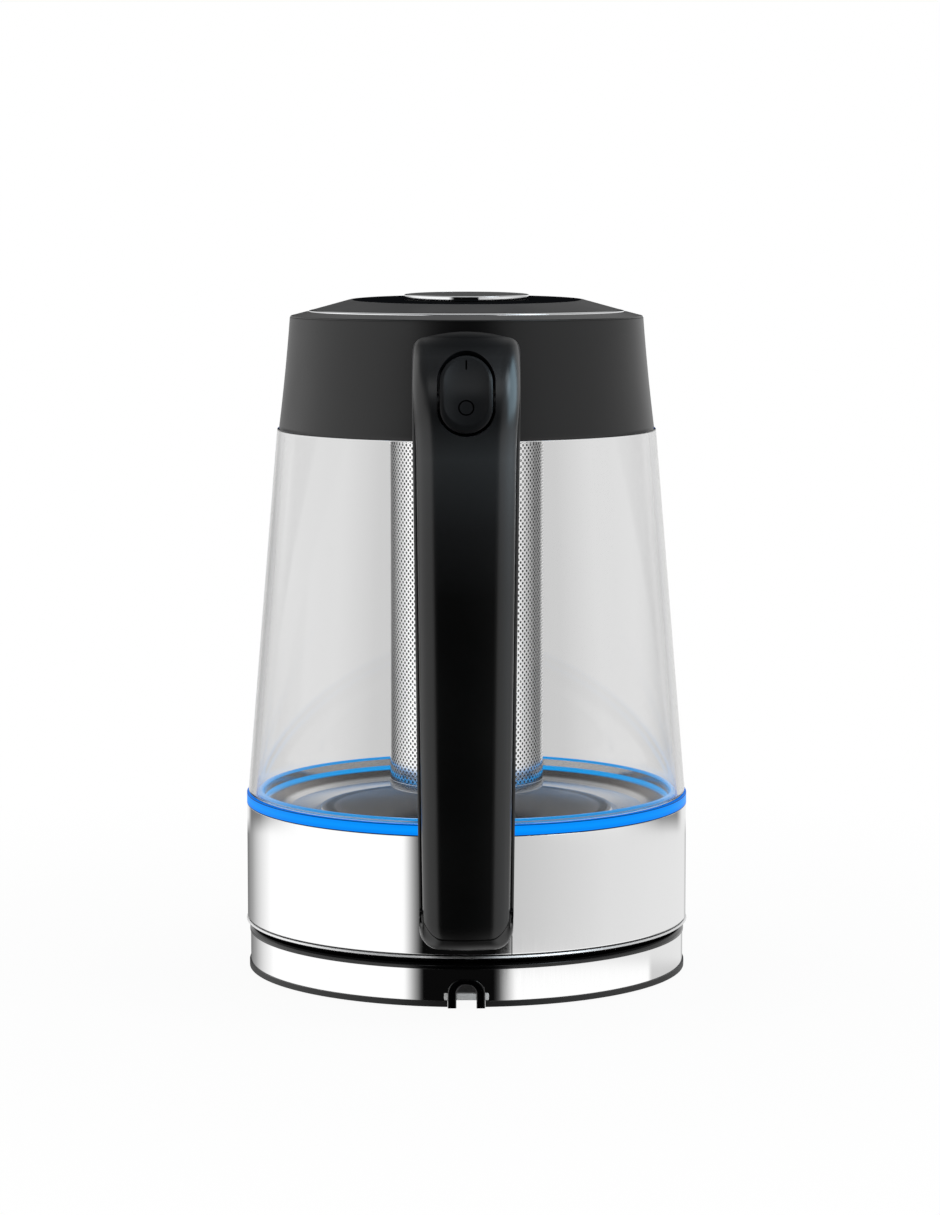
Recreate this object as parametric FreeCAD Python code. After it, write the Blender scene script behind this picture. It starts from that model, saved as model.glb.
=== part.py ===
import FreeCAD, Part
import math
import os

from FreeCAD import Vector

# Electric glass kettle with a hanging tea infuser, on its power base.
# Millimetres, +Z up, the axis of the jug is the Z axis and Z = 0 is the table.
# The handle points along -Y and the spout along +Y.

# Clearances
run_gap = 0.3             # between pieces that move past each other
seat_gap = 0.1            # between pieces that are fixed to each other
pin_gap = 0.05            # between a pin or screw and its hole
contact_gap = 0.4         # between the electrical contacts of base and jug

# Body, which the round pieces above and below take their radii from
skirt_radius = 80.0

# Power base
foot_standoff = 0.8
foot_height = 2.6
foot_radius = 5.5
foot_edge_gap = 1.6       # between a foot boss and the wall of the tray
foot_count = 5
foot_boss_wall = 1.5
base_lip_proud = 0.5
base_lip_height = 2.0
band_inset = 1.1
band_height = 11.2
band_wall = 0.8
base_rim_inset = 0.8
base_rim_height = 2.0
base_rim_chamfer = 0.6
tray_wall = 2.4
cord_store_height = 8.2
deck_thickness = 2.0
hub_radius = 38.0
hub_wall = 2.4
hub_cover_thickness = 3.0
cover_spigot_wall = 2.0
cover_spigot_depth = 2.0
screw_radius = 1.5
screw_head_radius = 2.8
screw_head_height = 1.6
screw_boss_radius = 4.0
hub_screw_inset = 10.0
hub_screw_count = 3
deck_screw_offset = 16.0
deck_screw_count = 4

# Cord outlet arch at the back of the base
gland_width = 13.0
gland_rise = 9.7
gland_corner = 5.0
gland_proud = 0.7
gland_leg_drop = 0.4
gland_slot_width = 7.0
gland_slot_rise = 8.0
gland_lug_width = 1.2
gland_lug_height = 2.4

# Swivel connector
post_radius = 15.0
post_rise = 12.0
post_flange_radius = 19.0
post_stub_radius = 13.0
post_stub_drop = 3.0
post_collar_wall = 4.5
post_collar_rise = 2.2
contact_depth = 14.0
contact_wall = 0.8
pin_contact_radius = 2.0
ring_contact_radius = 9.5
contact_reach = 8.0
socket_radius = 22.0
socket_height = 14.5
socket_roof_gap = 0.6

# Heated foot of the jug
bottom_ring_proud = 0.5
bottom_ring_height = 3.0
bottom_ring_width = 5.5
bottom_ring_round = 1.0
bottom_plate = 2.0
skirt_height = 41.5
skirt_wall = 0.6
led_room = 2.9            # between the housing and the skirt
housing_wall = 2.0
housing_ledge = 2.0
housing_ledge_width = 8.7
housing_boss_bite = 0.5   # that a screw boss sinks into the wall
housing_boss_height = 14.0
housing_screw_count = 4
light_ring_height = 4.0
light_ring_width = 3.8
light_pin_radius = 1.0
light_pin_inset = 2.1
light_pin_drop = 0.5
led_count = 12
led_start = 15.0          # degrees
led_strip_height = 7.5
led_strip_wall = 0.4
led_width = 2.6
led_depth = 1.3
led_drop = 1.0
pan_thickness = 1.0
pan_edge_gap = 0.4
pan_flange_width = 6.3
pan_depth = 4.6
pan_wall_run = 3.5
pan_plateau_radius = 47.0
pan_plateau_rise = 1.8
pan_step_run = 2.0
pan_seal_width = 2.6
pan_seal_height = 5.0
spreader_margin = 2.0
spreader_thickness = 4.0
element_radius = 34.0
element_tube_radius = 3.3
element_sweep = 300.0
element_leg_radius = 1.6
element_leg_drop = 7.0
control_radius = 24.0
control_height = 8.7
control_leg_radius = 3.0
control_leg_circle = 20.0
control_leg_count = 3
bimetal_radius = 7.0
bimetal_thickness = 1.2
bimetal_offset = 9.0

# Glass jug
glass_height = 132.4
glass_wall = 3.0
glass_inset = 0.5
glass_taper = 11.3
shoulder_height = 4.5
shoulder_inset = 1.0
neck_inset = 7.2
neck_rise = 16.0
neck_seal_start = 6.0
neck_seal_height = 8.0

# Collar and spout
collar_inset = 0.5
collar_taper = 4.1
collar_sag = 0.25
collar_height = 40.1
collar_wall = 2.4
rim_rise = 2.6
rim_run = 6.2
mouth_depth = 9.9
ledge_width = 3.4
ledge_thickness = 3.0
seat_side_gap = 1.0
seat_wall = 2.4
seat_flange = 2.0
seat_depth = 16.0
spout_out = 20.4
spout_root_width = 44.0
spout_root_height = 34.0
spout_tip_width = 18.0
spout_tip_height = 14.0
spout_top_drop = 0.3
spout_wall = 2.2
spout_channel_width = 28.0

# Lid with its release button
lid_side_gap = 2.0
lid_lip = 0.6
lid_cone_rise = 2.7
lid_cone_run = 13.9
lid_thickness = 2.0
lid_skirt_wall = 2.2
lid_flange = 2.0
trim_width = 1.4
trim_height = 1.2
plug_side_gap = 1.3
plug_wall = 2.0
plug_depth = 16.3
plug_floor = 2.0
lid_seal_reach = 1.0
lid_seal_height = 3.0
lid_seal_groove = 1.2
button_radius = 22.4
button_proud = 2.8
button_trim_wall = 0.9
button_trim_height = 2.0
button_trim_drop = 0.6
button_depth = 2.6
button_travel = 2.5
stem_radius = 5.0
stem_tip_gap = 6.0
spring_wire = 1.6
guide_wall = 1.6
guide_height = 9.0
bolt_width = 10.0
bolt_height = 5.7
bolt_rail_height = 4.4
bolt_nose = 2.0
bolt_tab_height = 6.0
bolt_tab_foot = 9.0
bolt_inner_end = 14.0
wedge_width = 8.0
wedge_outer_face = 26.0

# Infuser
infuser_radius = 27.8
infuser_wall = 0.6
infuser_clear = 7.4
infuser_floor_thickness = 1.5
infuser_ring_wall = 2.3
infuser_ring_height = 10.5
bayonet_wall = 4.5
bayonet_groove = 2.1
bayonet_floor = 3.7
lug_width = 6.0
lug_height = 3.0
lug_reach = 1.7
bayonet_turn = 30.0

# Handle
handle_out = 54.0
handle_top_drop = 0.7
handle_top_arc = 30.0
handle_slant = 4.0
handle_bottom_rise = 8.2
handle_bottom_arc = 11.0
handle_width_top = 35.2
handle_width_bottom = 31.0
handle_round = 7.0
handle_wall = 2.4
handle_side_wall = 4.5
handle_depth = 24.0
handle_end_wall = 6.0
finger_corner = 13.0
finger_top_drop = 37.3
finger_bottom_drop = 3.0
cover_depth = 10.0
cover_step = 1.1
cover_end_rise = 4.2
seam_gap = 0.15
handle_screw_radius = 1.8
handle_screw_head_radius = 3.4
handle_screw_head_height = 2.2
handle_screw_grip = 7.0
handle_boss_radius = 4.5
handle_boss_depth = 3.0
handle_top_screw_drop = 17.0
handle_foot_screw_low = 15.0
handle_foot_screw_high = 29.0

# Rocker switch on the handle
rocker_width = 17.6
rocker_height = 26.0
rocker_drop = 19.3
rocker_depth = 5.5
rocker_inset = 0.4
rocker_groove = 1.0
rocker_pin_radius = 1.2
rocker_pin_depth = 6.0
rocker_pin_drop = 22.6
rocker_lug_width = 8.0
rocker_lug_radius = 3.0
cheek_wall = 2.0
cheek_radius = 3.0
switch_plate = 2.0
switch_plate_gap = 13.0
switch_plate_height = 18.0
micro_switch_depth = 5.0
micro_switch_width = 7.0
steam_disc_radius = 8.0
steam_disc_height = 6.0
steam_disc_gap = 16.0

# Levels, from the table upwards
base_z = foot_standoff
lip_top = base_z + base_lip_height
band_top = lip_top + band_height
base_top = band_top + base_rim_height
deck_z = base_z + cord_store_height
deck_top = deck_z + deck_thickness
post_top = base_top + post_rise
jug_z = base_top + run_gap
ring_top = jug_z + bottom_ring_height
plate_top = ring_top + bottom_plate
skirt_top = ring_top + skirt_height
light_top = skirt_top + light_ring_height
collar_z = light_top + glass_height
collar_top = collar_z + collar_height
rim_top = collar_top + rim_rise
ledge_top = rim_top - mouth_depth
seat_top = ledge_top + seat_flange
lid_z = seat_top + run_gap
lid_edge = rim_top + lid_lip
lid_top = lid_edge + lid_cone_rise
button_top = lid_top + button_proud
plug_z = lid_z - plug_depth
plug_floor_top = plug_z + plug_floor
pan_rim = skirt_top + pan_thickness
pan_floor = pan_rim - pan_depth
plateau_top = pan_floor + pan_plateau_rise
spreader_top = plateau_top - pan_thickness
spreader_z = spreader_top - spreader_thickness
socket_z = base_top + post_collar_rise + run_gap
socket_top = socket_z + socket_height
control_z = socket_top + run_gap
control_top = control_z + control_height
neck_top = collar_z + neck_rise
infuser_z = plateau_top + infuser_clear
handle_top = collar_top - handle_top_drop
handle_z = ring_top + handle_bottom_rise
cover_z = handle_z + cover_end_rise
finger_top = collar_top - finger_top_drop
finger_z = skirt_top - finger_bottom_drop

# Radii of the base and of the heated foot, from the skirt
band_radius = skirt_radius - band_inset
base_lip_radius = band_radius + base_lip_proud
base_rim_radius = skirt_radius - base_rim_inset
tray_radius = band_radius - band_wall - seat_gap
tray_bore = tray_radius - tray_wall
foot_circle = tray_bore - foot_edge_gap - foot_boss_wall - foot_radius
hub_screw_circle = hub_radius - hub_screw_inset
deck_screw_circle = hub_radius + deck_screw_offset
bottom_ring_radius = skirt_radius + bottom_ring_proud
skirt_bore = skirt_radius - skirt_wall
housing_radius = skirt_bore - led_room
housing_bore = housing_radius - housing_wall
housing_boss_circle = housing_bore - screw_boss_radius + housing_boss_bite
light_pin_circle = skirt_radius - light_pin_inset
pan_flange_radius = skirt_radius - light_ring_width - pan_edge_gap

# Radii of the glass, the collar and the lid, each from the one below it
glass_bottom_radius = skirt_radius - glass_inset
glass_top_radius = glass_bottom_radius - glass_taper
neck_radius = glass_top_radius - neck_inset
collar_bottom_radius = glass_top_radius - collar_inset
collar_top_radius = collar_bottom_radius - collar_taper
mouth_radius = collar_top_radius - rim_run
ledge_radius = mouth_radius - ledge_width
seat_bore = ledge_radius - seat_side_gap - seat_wall
plug_radius = seat_bore - plug_side_gap
lid_radius = mouth_radius - lid_side_gap
lid_flat_radius = lid_radius - lid_cone_run
spout_reach = collar_top_radius + spout_out
handle_reach = skirt_radius + handle_out

# Radii of the infuser, the connector and the latch
infuser_ring_radius = infuser_radius + seat_gap + infuser_ring_wall
bayonet_bore = infuser_ring_radius + run_gap
post_bore = pin_contact_radius + contact_gap + contact_wall + seat_gap
ring_slot_outer = ring_contact_radius + contact_gap + contact_wall + seat_gap
ring_slot_inner = ring_contact_radius - contact_wall - contact_gap
bolt_nose_end = seat_bore + bolt_nose
bolt_z = plug_floor_top + bolt_rail_height + run_gap
bolt_top = bolt_z + bolt_height
button_z = lid_top - lid_thickness - run_gap
rocker_z = handle_top - rocker_drop
pin_z = handle_top - rocker_pin_drop

axis_z = Vector(0, 0, 1)
half_turn = 180.0
far = 400.0


def disc(radius, z_low, z_high, x=0.0, y=0.0):
    """Upright cylinder between two levels."""
    return Part.makeCylinder(radius, z_high - z_low, Vector(x, y, z_low))


def ring(bore, radius, z_low, z_high, x=0.0, y=0.0):
    """Upright tube between two levels."""
    return disc(radius, z_low, z_high, x, y).cut(disc(bore, z_low, z_high, x, y))


def block(x_low, x_high, y_low, y_high, z_low, z_high):
    """Box between two corners."""
    return Part.makeBox(x_high - x_low, y_high - y_low, z_high - z_low, Vector(x_low, y_low, z_low))


def turned(points):
    """Solid of revolution about Z, from (radius, level) corners."""
    corners = [Vector(radius, 0, z) for radius, z in points]
    face = Part.Face(Part.makePolygon(corners + corners[:1]))
    return face.revolve(Vector(0, 0, 0), axis_z, 360)


def upright_prism(points, width):
    """Prism along Y, centred on the XZ plane, from (x, z) corners."""
    corners = [Vector(x, -width / 2, z) for x, z in points]
    face = Part.Face(Part.makePolygon(corners + corners[:1]))
    return face.extrude(Vector(0, width, 0))


def polar(radius, degrees):
    """Point of a circle about the axis."""
    angle = math.radians(degrees)
    return radius * math.cos(angle), radius * math.sin(angle)


def spread(count, start):
    """Evenly spaced angles in degrees."""
    return [start + 360.0 * index / count for index in range(count)]


def turned_about_axis(shape, degrees):
    """Copy of a shape, turned about the axis."""
    copy = shape.copy()
    copy.rotate(Vector(0, 0, 0), axis_z, degrees)
    return copy


def radial_bar(radius, r_low, r_high, z):
    """Round bar that points backwards, along -Y, between two distances."""
    return Part.makeCylinder(radius, r_high - r_low, Vector(0, -r_low, z), Vector(0, -1, 0))


def collar_radius(z):
    """Outside of the collar: a straight taper, drawn in a little at its middle."""
    share = (z - collar_z) / collar_height
    straight = collar_bottom_radius + (collar_top_radius - collar_bottom_radius) * share
    return straight - 4 * collar_sag * share * (1 - share)


def glass_radius(z):
    """Outside of the glass below its shoulder."""
    share = (z - light_top) / glass_height
    return glass_bottom_radius + (glass_top_radius - glass_bottom_radius) * share


def collar_arc(offset):
    """Outer edge of the collar section, moved outwards by an offset."""
    levels = (collar_z, collar_z + collar_height / 2, collar_top)
    return Part.Arc(*[Vector(collar_radius(z) + offset, 0, z) for z in levels]).toShape()


def section_turned(edges):
    """Solid of revolution of a closed chain of edges in the XZ plane."""
    return Part.Face(Part.Wire(edges)).revolve(Vector(0, 0, 0), axis_z, 360)


def chain(points):
    """Straight edges through (radius, level) points."""
    corners = [Vector(radius, 0, z) for radius, z in points]
    return [Part.LineSegment(a, b).toShape() for a, b in zip(corners, corners[1:])]


def collar_core(offset):
    """Everything inside the outer face of the collar, moved outwards by an offset."""
    top = (collar_radius(collar_top) + offset, collar_top)
    bottom = (collar_radius(collar_z) + offset, collar_z)
    return section_turned([collar_arc(offset)] + chain([top, (0, collar_top), (0, collar_z), bottom]))


# Power base


def gland_prism(width, rise, corner, drop, r_low, r_high):
    """Arch that stands at the back of the base, with rounded shoulders."""
    low = base_z - drop
    top = base_z + rise
    body = block(-width / 2, width / 2, -r_high, -r_low, low, top)
    shoulders = [edge for edge in body.Edges if is_along_y(edge) and edge.CenterOfMass.z > top - seat_gap]
    return body.makeFillet(corner, shoulders)


def is_along_y(edge):
    """True for an edge that runs along Y."""
    box = edge.BoundBox
    return box.YLength > box.XLength and box.YLength > box.ZLength


def gland_notch():
    """Room for the cord outlet arch in the wall and the trim of the base."""
    width = gland_width + 2 * seat_gap
    wall_face = math.sqrt(tray_bore ** 2 - (width / 2) ** 2)
    return gland_prism(width, gland_rise + seat_gap, gland_corner, base_z, wall_face, base_lip_radius + far)


def gland_lugs(margin):
    """Two small tabs that lock the arch into the trim band."""
    lugs = []
    for side in (-1, 1):
        near = side * (gland_width / 2 - seat_gap)
        far_side = side * (gland_width / 2 + gland_lug_width + margin)
        lugs.append(block(min(near, far_side), max(near, far_side), -band_radius - far, -tray_radius - seat_gap / 2,
                          lip_top - margin, lip_top + gland_lug_height + margin))
    return lugs


def base_tray():
    """Lower shell: outer wall, deck over the cord store, hub and foot bosses."""
    tray = ring(tray_bore, tray_radius, base_z, band_top)
    tray = tray.fuse(ring(tray_radius, base_lip_radius, base_z, lip_top))
    tray = tray.fuse(ring(post_stub_radius + seat_gap, tray_bore, deck_z, deck_top))
    tray = tray.fuse(ring(hub_radius - hub_wall, hub_radius, base_z, deck_z))
    for angle in spread(foot_count, 90):
        x, y = polar(foot_circle, angle)
        boss = disc(foot_radius + foot_boss_wall, base_z, deck_z, x, y)
        tray = tray.fuse(boss.cut(disc(foot_radius + seat_gap, base_z, foot_height, x, y)))
    for angle in spread(hub_screw_count, 90):
        x, y = polar(hub_screw_circle, angle)
        boss = disc(screw_boss_radius, base_z + hub_cover_thickness, deck_z, x, y)
        tray = tray.fuse(boss).cut(disc(screw_radius + pin_gap, base_z, deck_z, x, y))
    for angle in spread(deck_screw_count, 45):
        x, y = polar(deck_screw_circle, angle)
        tray = tray.cut(disc(screw_radius + pin_gap, deck_z, deck_top, x, y))
    return tray.cut(gland_notch()).removeSplitter()


def base_hub_cover():
    """Plate that closes the hub from below, with a seat for the foot under the connector."""
    plate = disc(hub_radius - hub_wall - seat_gap, base_z, base_z + hub_cover_thickness)
    plate = plate.cut(disc(foot_radius + seat_gap, base_z, foot_height))
    for angle in spread(hub_screw_count, 90):
        x, y = polar(hub_screw_circle, angle)
        plate = plate.cut(disc(screw_radius + pin_gap, base_z, base_z + hub_cover_thickness, x, y))
        plate = plate.cut(disc(screw_head_radius + seat_gap, base_z, base_z + screw_head_height, x, y))
    return plate


def screw(x, y, z_head, z_end):
    """Screw with its head down."""
    head = disc(screw_head_radius, z_head, z_head + screw_head_height, x, y)
    return head.fuse(disc(screw_radius, z_head, z_end, x, y)).removeSplitter()


def base_screws():
    """Screws of the hub cover and of the deck."""
    screws = []
    for angle in spread(hub_screw_count, 90):
        x, y = polar(hub_screw_circle, angle)
        screws.append(screw(x, y, base_z, deck_z))
    for angle in spread(deck_screw_count, 45):
        x, y = polar(deck_screw_circle, angle)
        screws.append(screw(x, y, deck_z - screw_head_height, band_top))
    return Part.makeCompound(screws)


def base_feet():
    """Rubber feet: a ring of them, and one in the middle that takes the push on the connector."""
    feet = [disc(foot_radius, 0, foot_height)]
    for angle in spread(foot_count, 90):
        feet.append(disc(foot_radius, 0, foot_height, *polar(foot_circle, angle)))
    return Part.makeCompound(feet)


def base_trim_band():
    """Polished steel band round the base, open at the cord outlet."""
    band = ring(band_radius - band_wall, band_radius, lip_top, band_top).cut(gland_notch())
    for lug in gland_lugs(seat_gap):
        band = band.cut(lug)
    return band


def base_top_cover():
    """Upper shell: rim, locating spigot, screw bosses and connector collar."""
    collar_outer = post_radius + post_collar_wall
    cover = disc(base_rim_radius, band_top, base_top)
    rim = [edge for edge in cover.Edges if abs(edge.CenterOfMass.z - base_top) < seat_gap and edge.isClosed()]
    cover = cover.makeChamfer(base_rim_chamfer, rim)
    spigot_radius = tray_bore - seat_gap
    cover = cover.fuse(ring(spigot_radius - cover_spigot_wall, spigot_radius, band_top - cover_spigot_depth, band_top))
    for angle in spread(deck_screw_count, 45):
        x, y = polar(deck_screw_circle, angle)
        cover = cover.fuse(ring(screw_radius + pin_gap, screw_boss_radius, deck_top, band_top, x, y))
    cover = cover.fuse(disc(collar_outer, base_top, base_top + post_collar_rise))
    return cover.cut(disc(post_radius + seat_gap, band_top, base_top + post_collar_rise)).removeSplitter()


def base_connector_post():
    """Round post of the swivel connector, with its two contact wells."""
    post = disc(post_flange_radius, deck_top, band_top).fuse(disc(post_radius, band_top, post_top))
    post = post.fuse(disc(post_stub_radius, deck_z - post_stub_drop, deck_top))
    well = post_top - contact_depth
    post = post.cut(disc(post_bore, well, post_top))
    return post.cut(ring(ring_slot_inner, ring_slot_outer, well, post_top)).removeSplitter()


def base_contacts():
    """Brass sleeve and ring at the bottom of the wells."""
    low = post_top - contact_depth
    high = low + contact_reach
    sleeve = ring(post_bore - seat_gap - contact_wall, post_bore - seat_gap, low, high)
    outer = ring_slot_outer - seat_gap
    return Part.makeCompound([sleeve, ring(outer - contact_wall, outer, low, high)])


def cord_gland():
    """Arch with a slot, open downwards, where the cord leaves the base."""
    outer = band_radius + gland_proud
    arch = gland_prism(gland_width, gland_rise, gland_corner, gland_leg_drop, tray_bore + seat_gap, outer)
    for lug in gland_lugs(0):
        arch = arch.fuse(lug)
    slot_top = gland_slot_width / 2 - seat_gap
    slot = gland_prism(gland_slot_width, gland_slot_rise, slot_top, base_z, 0, base_lip_radius + far)
    arch = arch.cut(slot)
    return arch.common(disc(outer, 0, band_top)).cut(disc(tray_bore + seat_gap, 0, band_top)).removeSplitter()


# Connector half in the jug, which stays still while the jug turns on its base


def kettle_socket():
    """Round socket that slips over the post."""
    body = disc(socket_radius, socket_z, socket_top)
    return body.cut(disc(post_radius + contact_gap, socket_z, post_top + socket_roof_gap))


def socket_contacts():
    """Brass pin and ring that hang into the wells of the post."""
    roof = post_top + socket_roof_gap
    low = post_top - contact_reach
    pin = disc(pin_contact_radius, low, roof)
    return Part.makeCompound([pin, ring(ring_contact_radius - contact_wall, ring_contact_radius, low, roof)])


# Heated foot of the jug


def bottom_cover():
    """Black foot ring and plate under the jug."""
    foot = ring(bottom_ring_radius - bottom_ring_width, bottom_ring_radius, jug_z, ring_top)
    rims = [edge for edge in foot.Edges if edge.BoundBox.XMax > bottom_ring_radius - seat_gap and edge.isClosed()]
    foot = foot.makeFillet(bottom_ring_round, [edge for edge in rims if edge.BoundBox.ZLength < seat_gap])
    plate = disc(skirt_bore - seat_gap, ring_top, plate_top).cut(disc(socket_radius + run_gap, ring_top, plate_top))
    cover = foot.fuse(plate)
    for angle in spread(housing_screw_count, 45):
        x, y = polar(housing_boss_circle, angle)
        cover = cover.cut(disc(screw_radius + pin_gap, ring_top, plate_top, x, y))
    return cover.removeSplitter()


def bottom_screws():
    """Screws that hold the foot plate to the housing."""
    screws = []
    for angle in spread(housing_screw_count, 45):
        x, y = polar(housing_boss_circle, angle)
        screws.append(screw(x, y, ring_top - screw_head_height, plate_top + housing_boss_height - bottom_plate))
    return Part.makeCompound(screws)


def lower_housing():
    """Plastic drum inside the skirt, with the ledge that carries pan and light ring."""
    ledge_z = skirt_top - housing_ledge
    drum = ring(housing_bore, housing_radius, plate_top, ledge_z)
    drum = drum.fuse(ring(skirt_bore - seat_gap - housing_ledge_width, skirt_bore - seat_gap, ledge_z, skirt_top))
    for angle in spread(housing_screw_count, 45):
        x, y = polar(housing_boss_circle, angle)
        drum = drum.fuse(disc(screw_boss_radius, plate_top, plate_top + housing_boss_height, x, y))
        drum = drum.cut(disc(screw_radius + pin_gap, plate_top, plate_top + housing_boss_height, x, y))
    for angle in spread(led_count, led_start):
        x, y = polar(light_pin_circle, angle)
        drum = drum.cut(disc(light_pin_radius + seat_gap, ledge_z, skirt_top, x, y))
    for z in foot_screw_levels():
        drum = drum.cut(radial_bar(handle_screw_radius + seat_gap, housing_bore - screw_boss_radius, skirt_radius, z))
    return drum.removeSplitter()


def foot_screw_levels():
    """Levels of the two screws that hold the foot of the handle."""
    return (ring_top + handle_foot_screw_low, ring_top + handle_foot_screw_high)


def skirt_band():
    """Polished steel skirt."""
    skirt = ring(skirt_bore, skirt_radius, ring_top, skirt_top)
    for z in foot_screw_levels():
        skirt = skirt.cut(radial_bar(handle_screw_radius + seat_gap, housing_bore, skirt_radius + far, z))
    return skirt


def light_ring():
    """Clear ring that glows under the glass, with pins that pick up the light."""
    body = ring(skirt_radius - light_ring_width, skirt_radius, skirt_top, light_top)
    for angle in spread(led_count, led_start):
        x, y = polar(light_pin_circle, angle)
        body = body.fuse(disc(light_pin_radius, skirt_top - housing_ledge - light_pin_drop, skirt_top, x, y))
    return body.removeSplitter()


def led_strip():
    """Flexible strip round the housing."""
    top = skirt_top - housing_ledge - light_pin_drop
    bore = housing_radius + seat_gap
    return ring(bore, bore + led_strip_wall, top - led_strip_height, top)


def leds():
    """One small lamp under each pin of the light ring."""
    face = housing_radius + seat_gap + led_strip_wall
    top = skirt_top - housing_ledge - light_pin_drop - led_drop
    lamp = block(face, face + led_depth, -led_width / 2, led_width / 2, top - led_width, top)
    strip = disc(face, 0, far)
    return Part.makeCompound([turned_about_axis(lamp.cut(strip), angle) for angle in spread(led_count, led_start)])


def heater_pan():
    """Pressed stainless floor of the jug, with a raised centre and a flange."""
    flange_in = pan_flange_radius - pan_flange_width
    floor_radius = flange_in - pan_wall_run
    upper = [(0, plateau_top), (pan_plateau_radius, plateau_top), (pan_plateau_radius + pan_step_run, pan_floor),
             (floor_radius, pan_floor), (flange_in, pan_rim), (pan_flange_radius, pan_rim)]
    lower = [(radius, z - pan_thickness) for radius, z in reversed(upper)]
    return turned(upper + lower)


def pan_seal():
    """Silicone ring between the flange of the pan and the glass."""
    outer = glass_radius(pan_rim + pan_seal_height) - glass_wall - seat_gap
    outer = min(outer, skirt_radius - light_ring_width - seat_gap)
    return ring(outer - pan_seal_width, outer, pan_rim, pan_rim + pan_seal_height)


def heat_spreader():
    """Aluminium disc under the raised centre of the pan."""
    return disc(pan_plateau_radius - spreader_margin, spreader_z, spreader_top)


def heating_element():
    """Sheathed element, most of a ring, with two terminals."""
    z = spreader_z - element_tube_radius - pin_gap
    section = Part.Face(Part.Wire(Part.makeCircle(element_tube_radius, Vector(element_radius, 0, z), Vector(0, 1, 0))))
    tube = section.revolve(Vector(0, 0, 0), axis_z, element_sweep)
    for angle in (0, element_sweep):
        x, y = polar(element_radius, angle)
        tube = tube.fuse(disc(element_leg_radius, z - element_leg_drop, z, x, y))
    return tube.removeSplitter()


def control_unit():
    """Thermostat block over the socket, on three legs under the spreader."""
    unit = disc(control_radius, control_z, control_top)
    for angle in spread(control_leg_count, 90):
        x, y = polar(control_leg_circle, angle)
        unit = unit.fuse(disc(control_leg_radius, control_top, spreader_z, x, y))
    return unit.removeSplitter()


def bimetal_discs():
    """Two snap discs on the thermostat block."""
    return Part.makeCompound([disc(bimetal_radius, control_top, control_top + bimetal_thickness, x, 0)
                              for x in (-bimetal_offset, bimetal_offset)])


# Glass, collar and spout


def glass_jug():
    """Tapered glass tube with a rounded shoulder and a neck inside the collar."""
    shoulder_z = collar_z - shoulder_height
    top = collar_z - seat_gap
    outer = [(glass_bottom_radius, light_top), (glass_radius(shoulder_z), shoulder_z),
             (glass_radius(top) - shoulder_inset, top), (neck_radius, top), (neck_radius, neck_top)]
    inner = [(neck_radius - glass_wall, neck_top), (neck_radius - glass_wall, top - glass_wall),
             (glass_radius(shoulder_z) - glass_wall, shoulder_z - glass_wall),
             (glass_bottom_radius - glass_wall, light_top)]
    return turned(outer + inner)


def neck_seal():
    """Silicone ring between the neck of the glass and the collar."""
    low = collar_z + neck_seal_start
    high = low + neck_seal_height
    return ring(neck_radius + seat_gap, collar_radius(high) - collar_wall - seat_gap, low, high)


def spout_section(width, z_low, z_high, y):
    """Upright rectangle across the spout."""
    half = width / 2
    corners = [Vector(-half, y, z_low), Vector(half, y, z_low), Vector(half, y, z_high), Vector(-half, y, z_high)]
    return Part.makePolygon(corners + corners[:1])


def spout_beak():
    """Outside of the spout, which grows out of the front of the collar."""
    top = collar_top - spout_top_drop
    root = spout_section(spout_root_width, top - spout_root_height, top, mouth_radius)
    tip = spout_section(spout_tip_width, top - spout_tip_height, top, spout_reach)
    return Part.makeLoft([root, tip], True, True).cut(collar_core(-collar_wall / 2))


def spout_channel():
    """Way for the water, from over the neck of the glass to the tip of the spout."""
    top = collar_top - spout_top_drop - spout_wall
    root_top = ledge_top - ledge_thickness - seat_gap
    root = spout_section(spout_channel_width, neck_top + seat_gap, root_top, ledge_radius)
    tip = spout_section(spout_tip_width - 2 * spout_wall, top - spout_tip_height + 2 * spout_wall, top, spout_reach)
    run_out = spout_section(spout_tip_width - 2 * spout_wall, top - spout_tip_height + 2 * spout_wall, top,
                            spout_reach + spout_wall)
    return Part.makeLoft([root, tip], True, True).fuse(Part.makeLoft([tip, run_out], True, True))


def collar():
    """Black collar with bevelled rim, lid ledge, spout and a boss for the handle screw."""
    ledge_z = ledge_top - ledge_thickness
    wall_top = collar_radius(ledge_z) - collar_wall
    inside = chain([(collar_radius(collar_top), collar_top), (mouth_radius, rim_top), (mouth_radius, ledge_top),
                    (ledge_radius, ledge_top), (ledge_radius, ledge_z), (wall_top, ledge_z),
                    (collar_radius(collar_z) - collar_wall, collar_z), (collar_radius(collar_z), collar_z)])
    shell = section_turned([collar_arc(0)] + inside)
    shell = shell.fuse(spout_beak()).cut(spout_channel())
    z = collar_top - handle_top_screw_drop
    boss = radial_bar(handle_boss_radius, screw_seat_radius(), collar_radius(z) - collar_wall / 2, z)
    shell = shell.fuse(boss).cut(radial_bar(handle_screw_radius + seat_gap, 0, collar_radius(z) + far, z)
                                 .cut(disc(mouth_radius - ledge_thickness, 0, far)))
    return shell.removeSplitter()


def screw_seat_radius():
    """Distance of the flat inside the collar under the head of the handle screw."""
    return collar_radius(collar_top - handle_top_screw_drop) - collar_wall - handle_boss_depth


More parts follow.
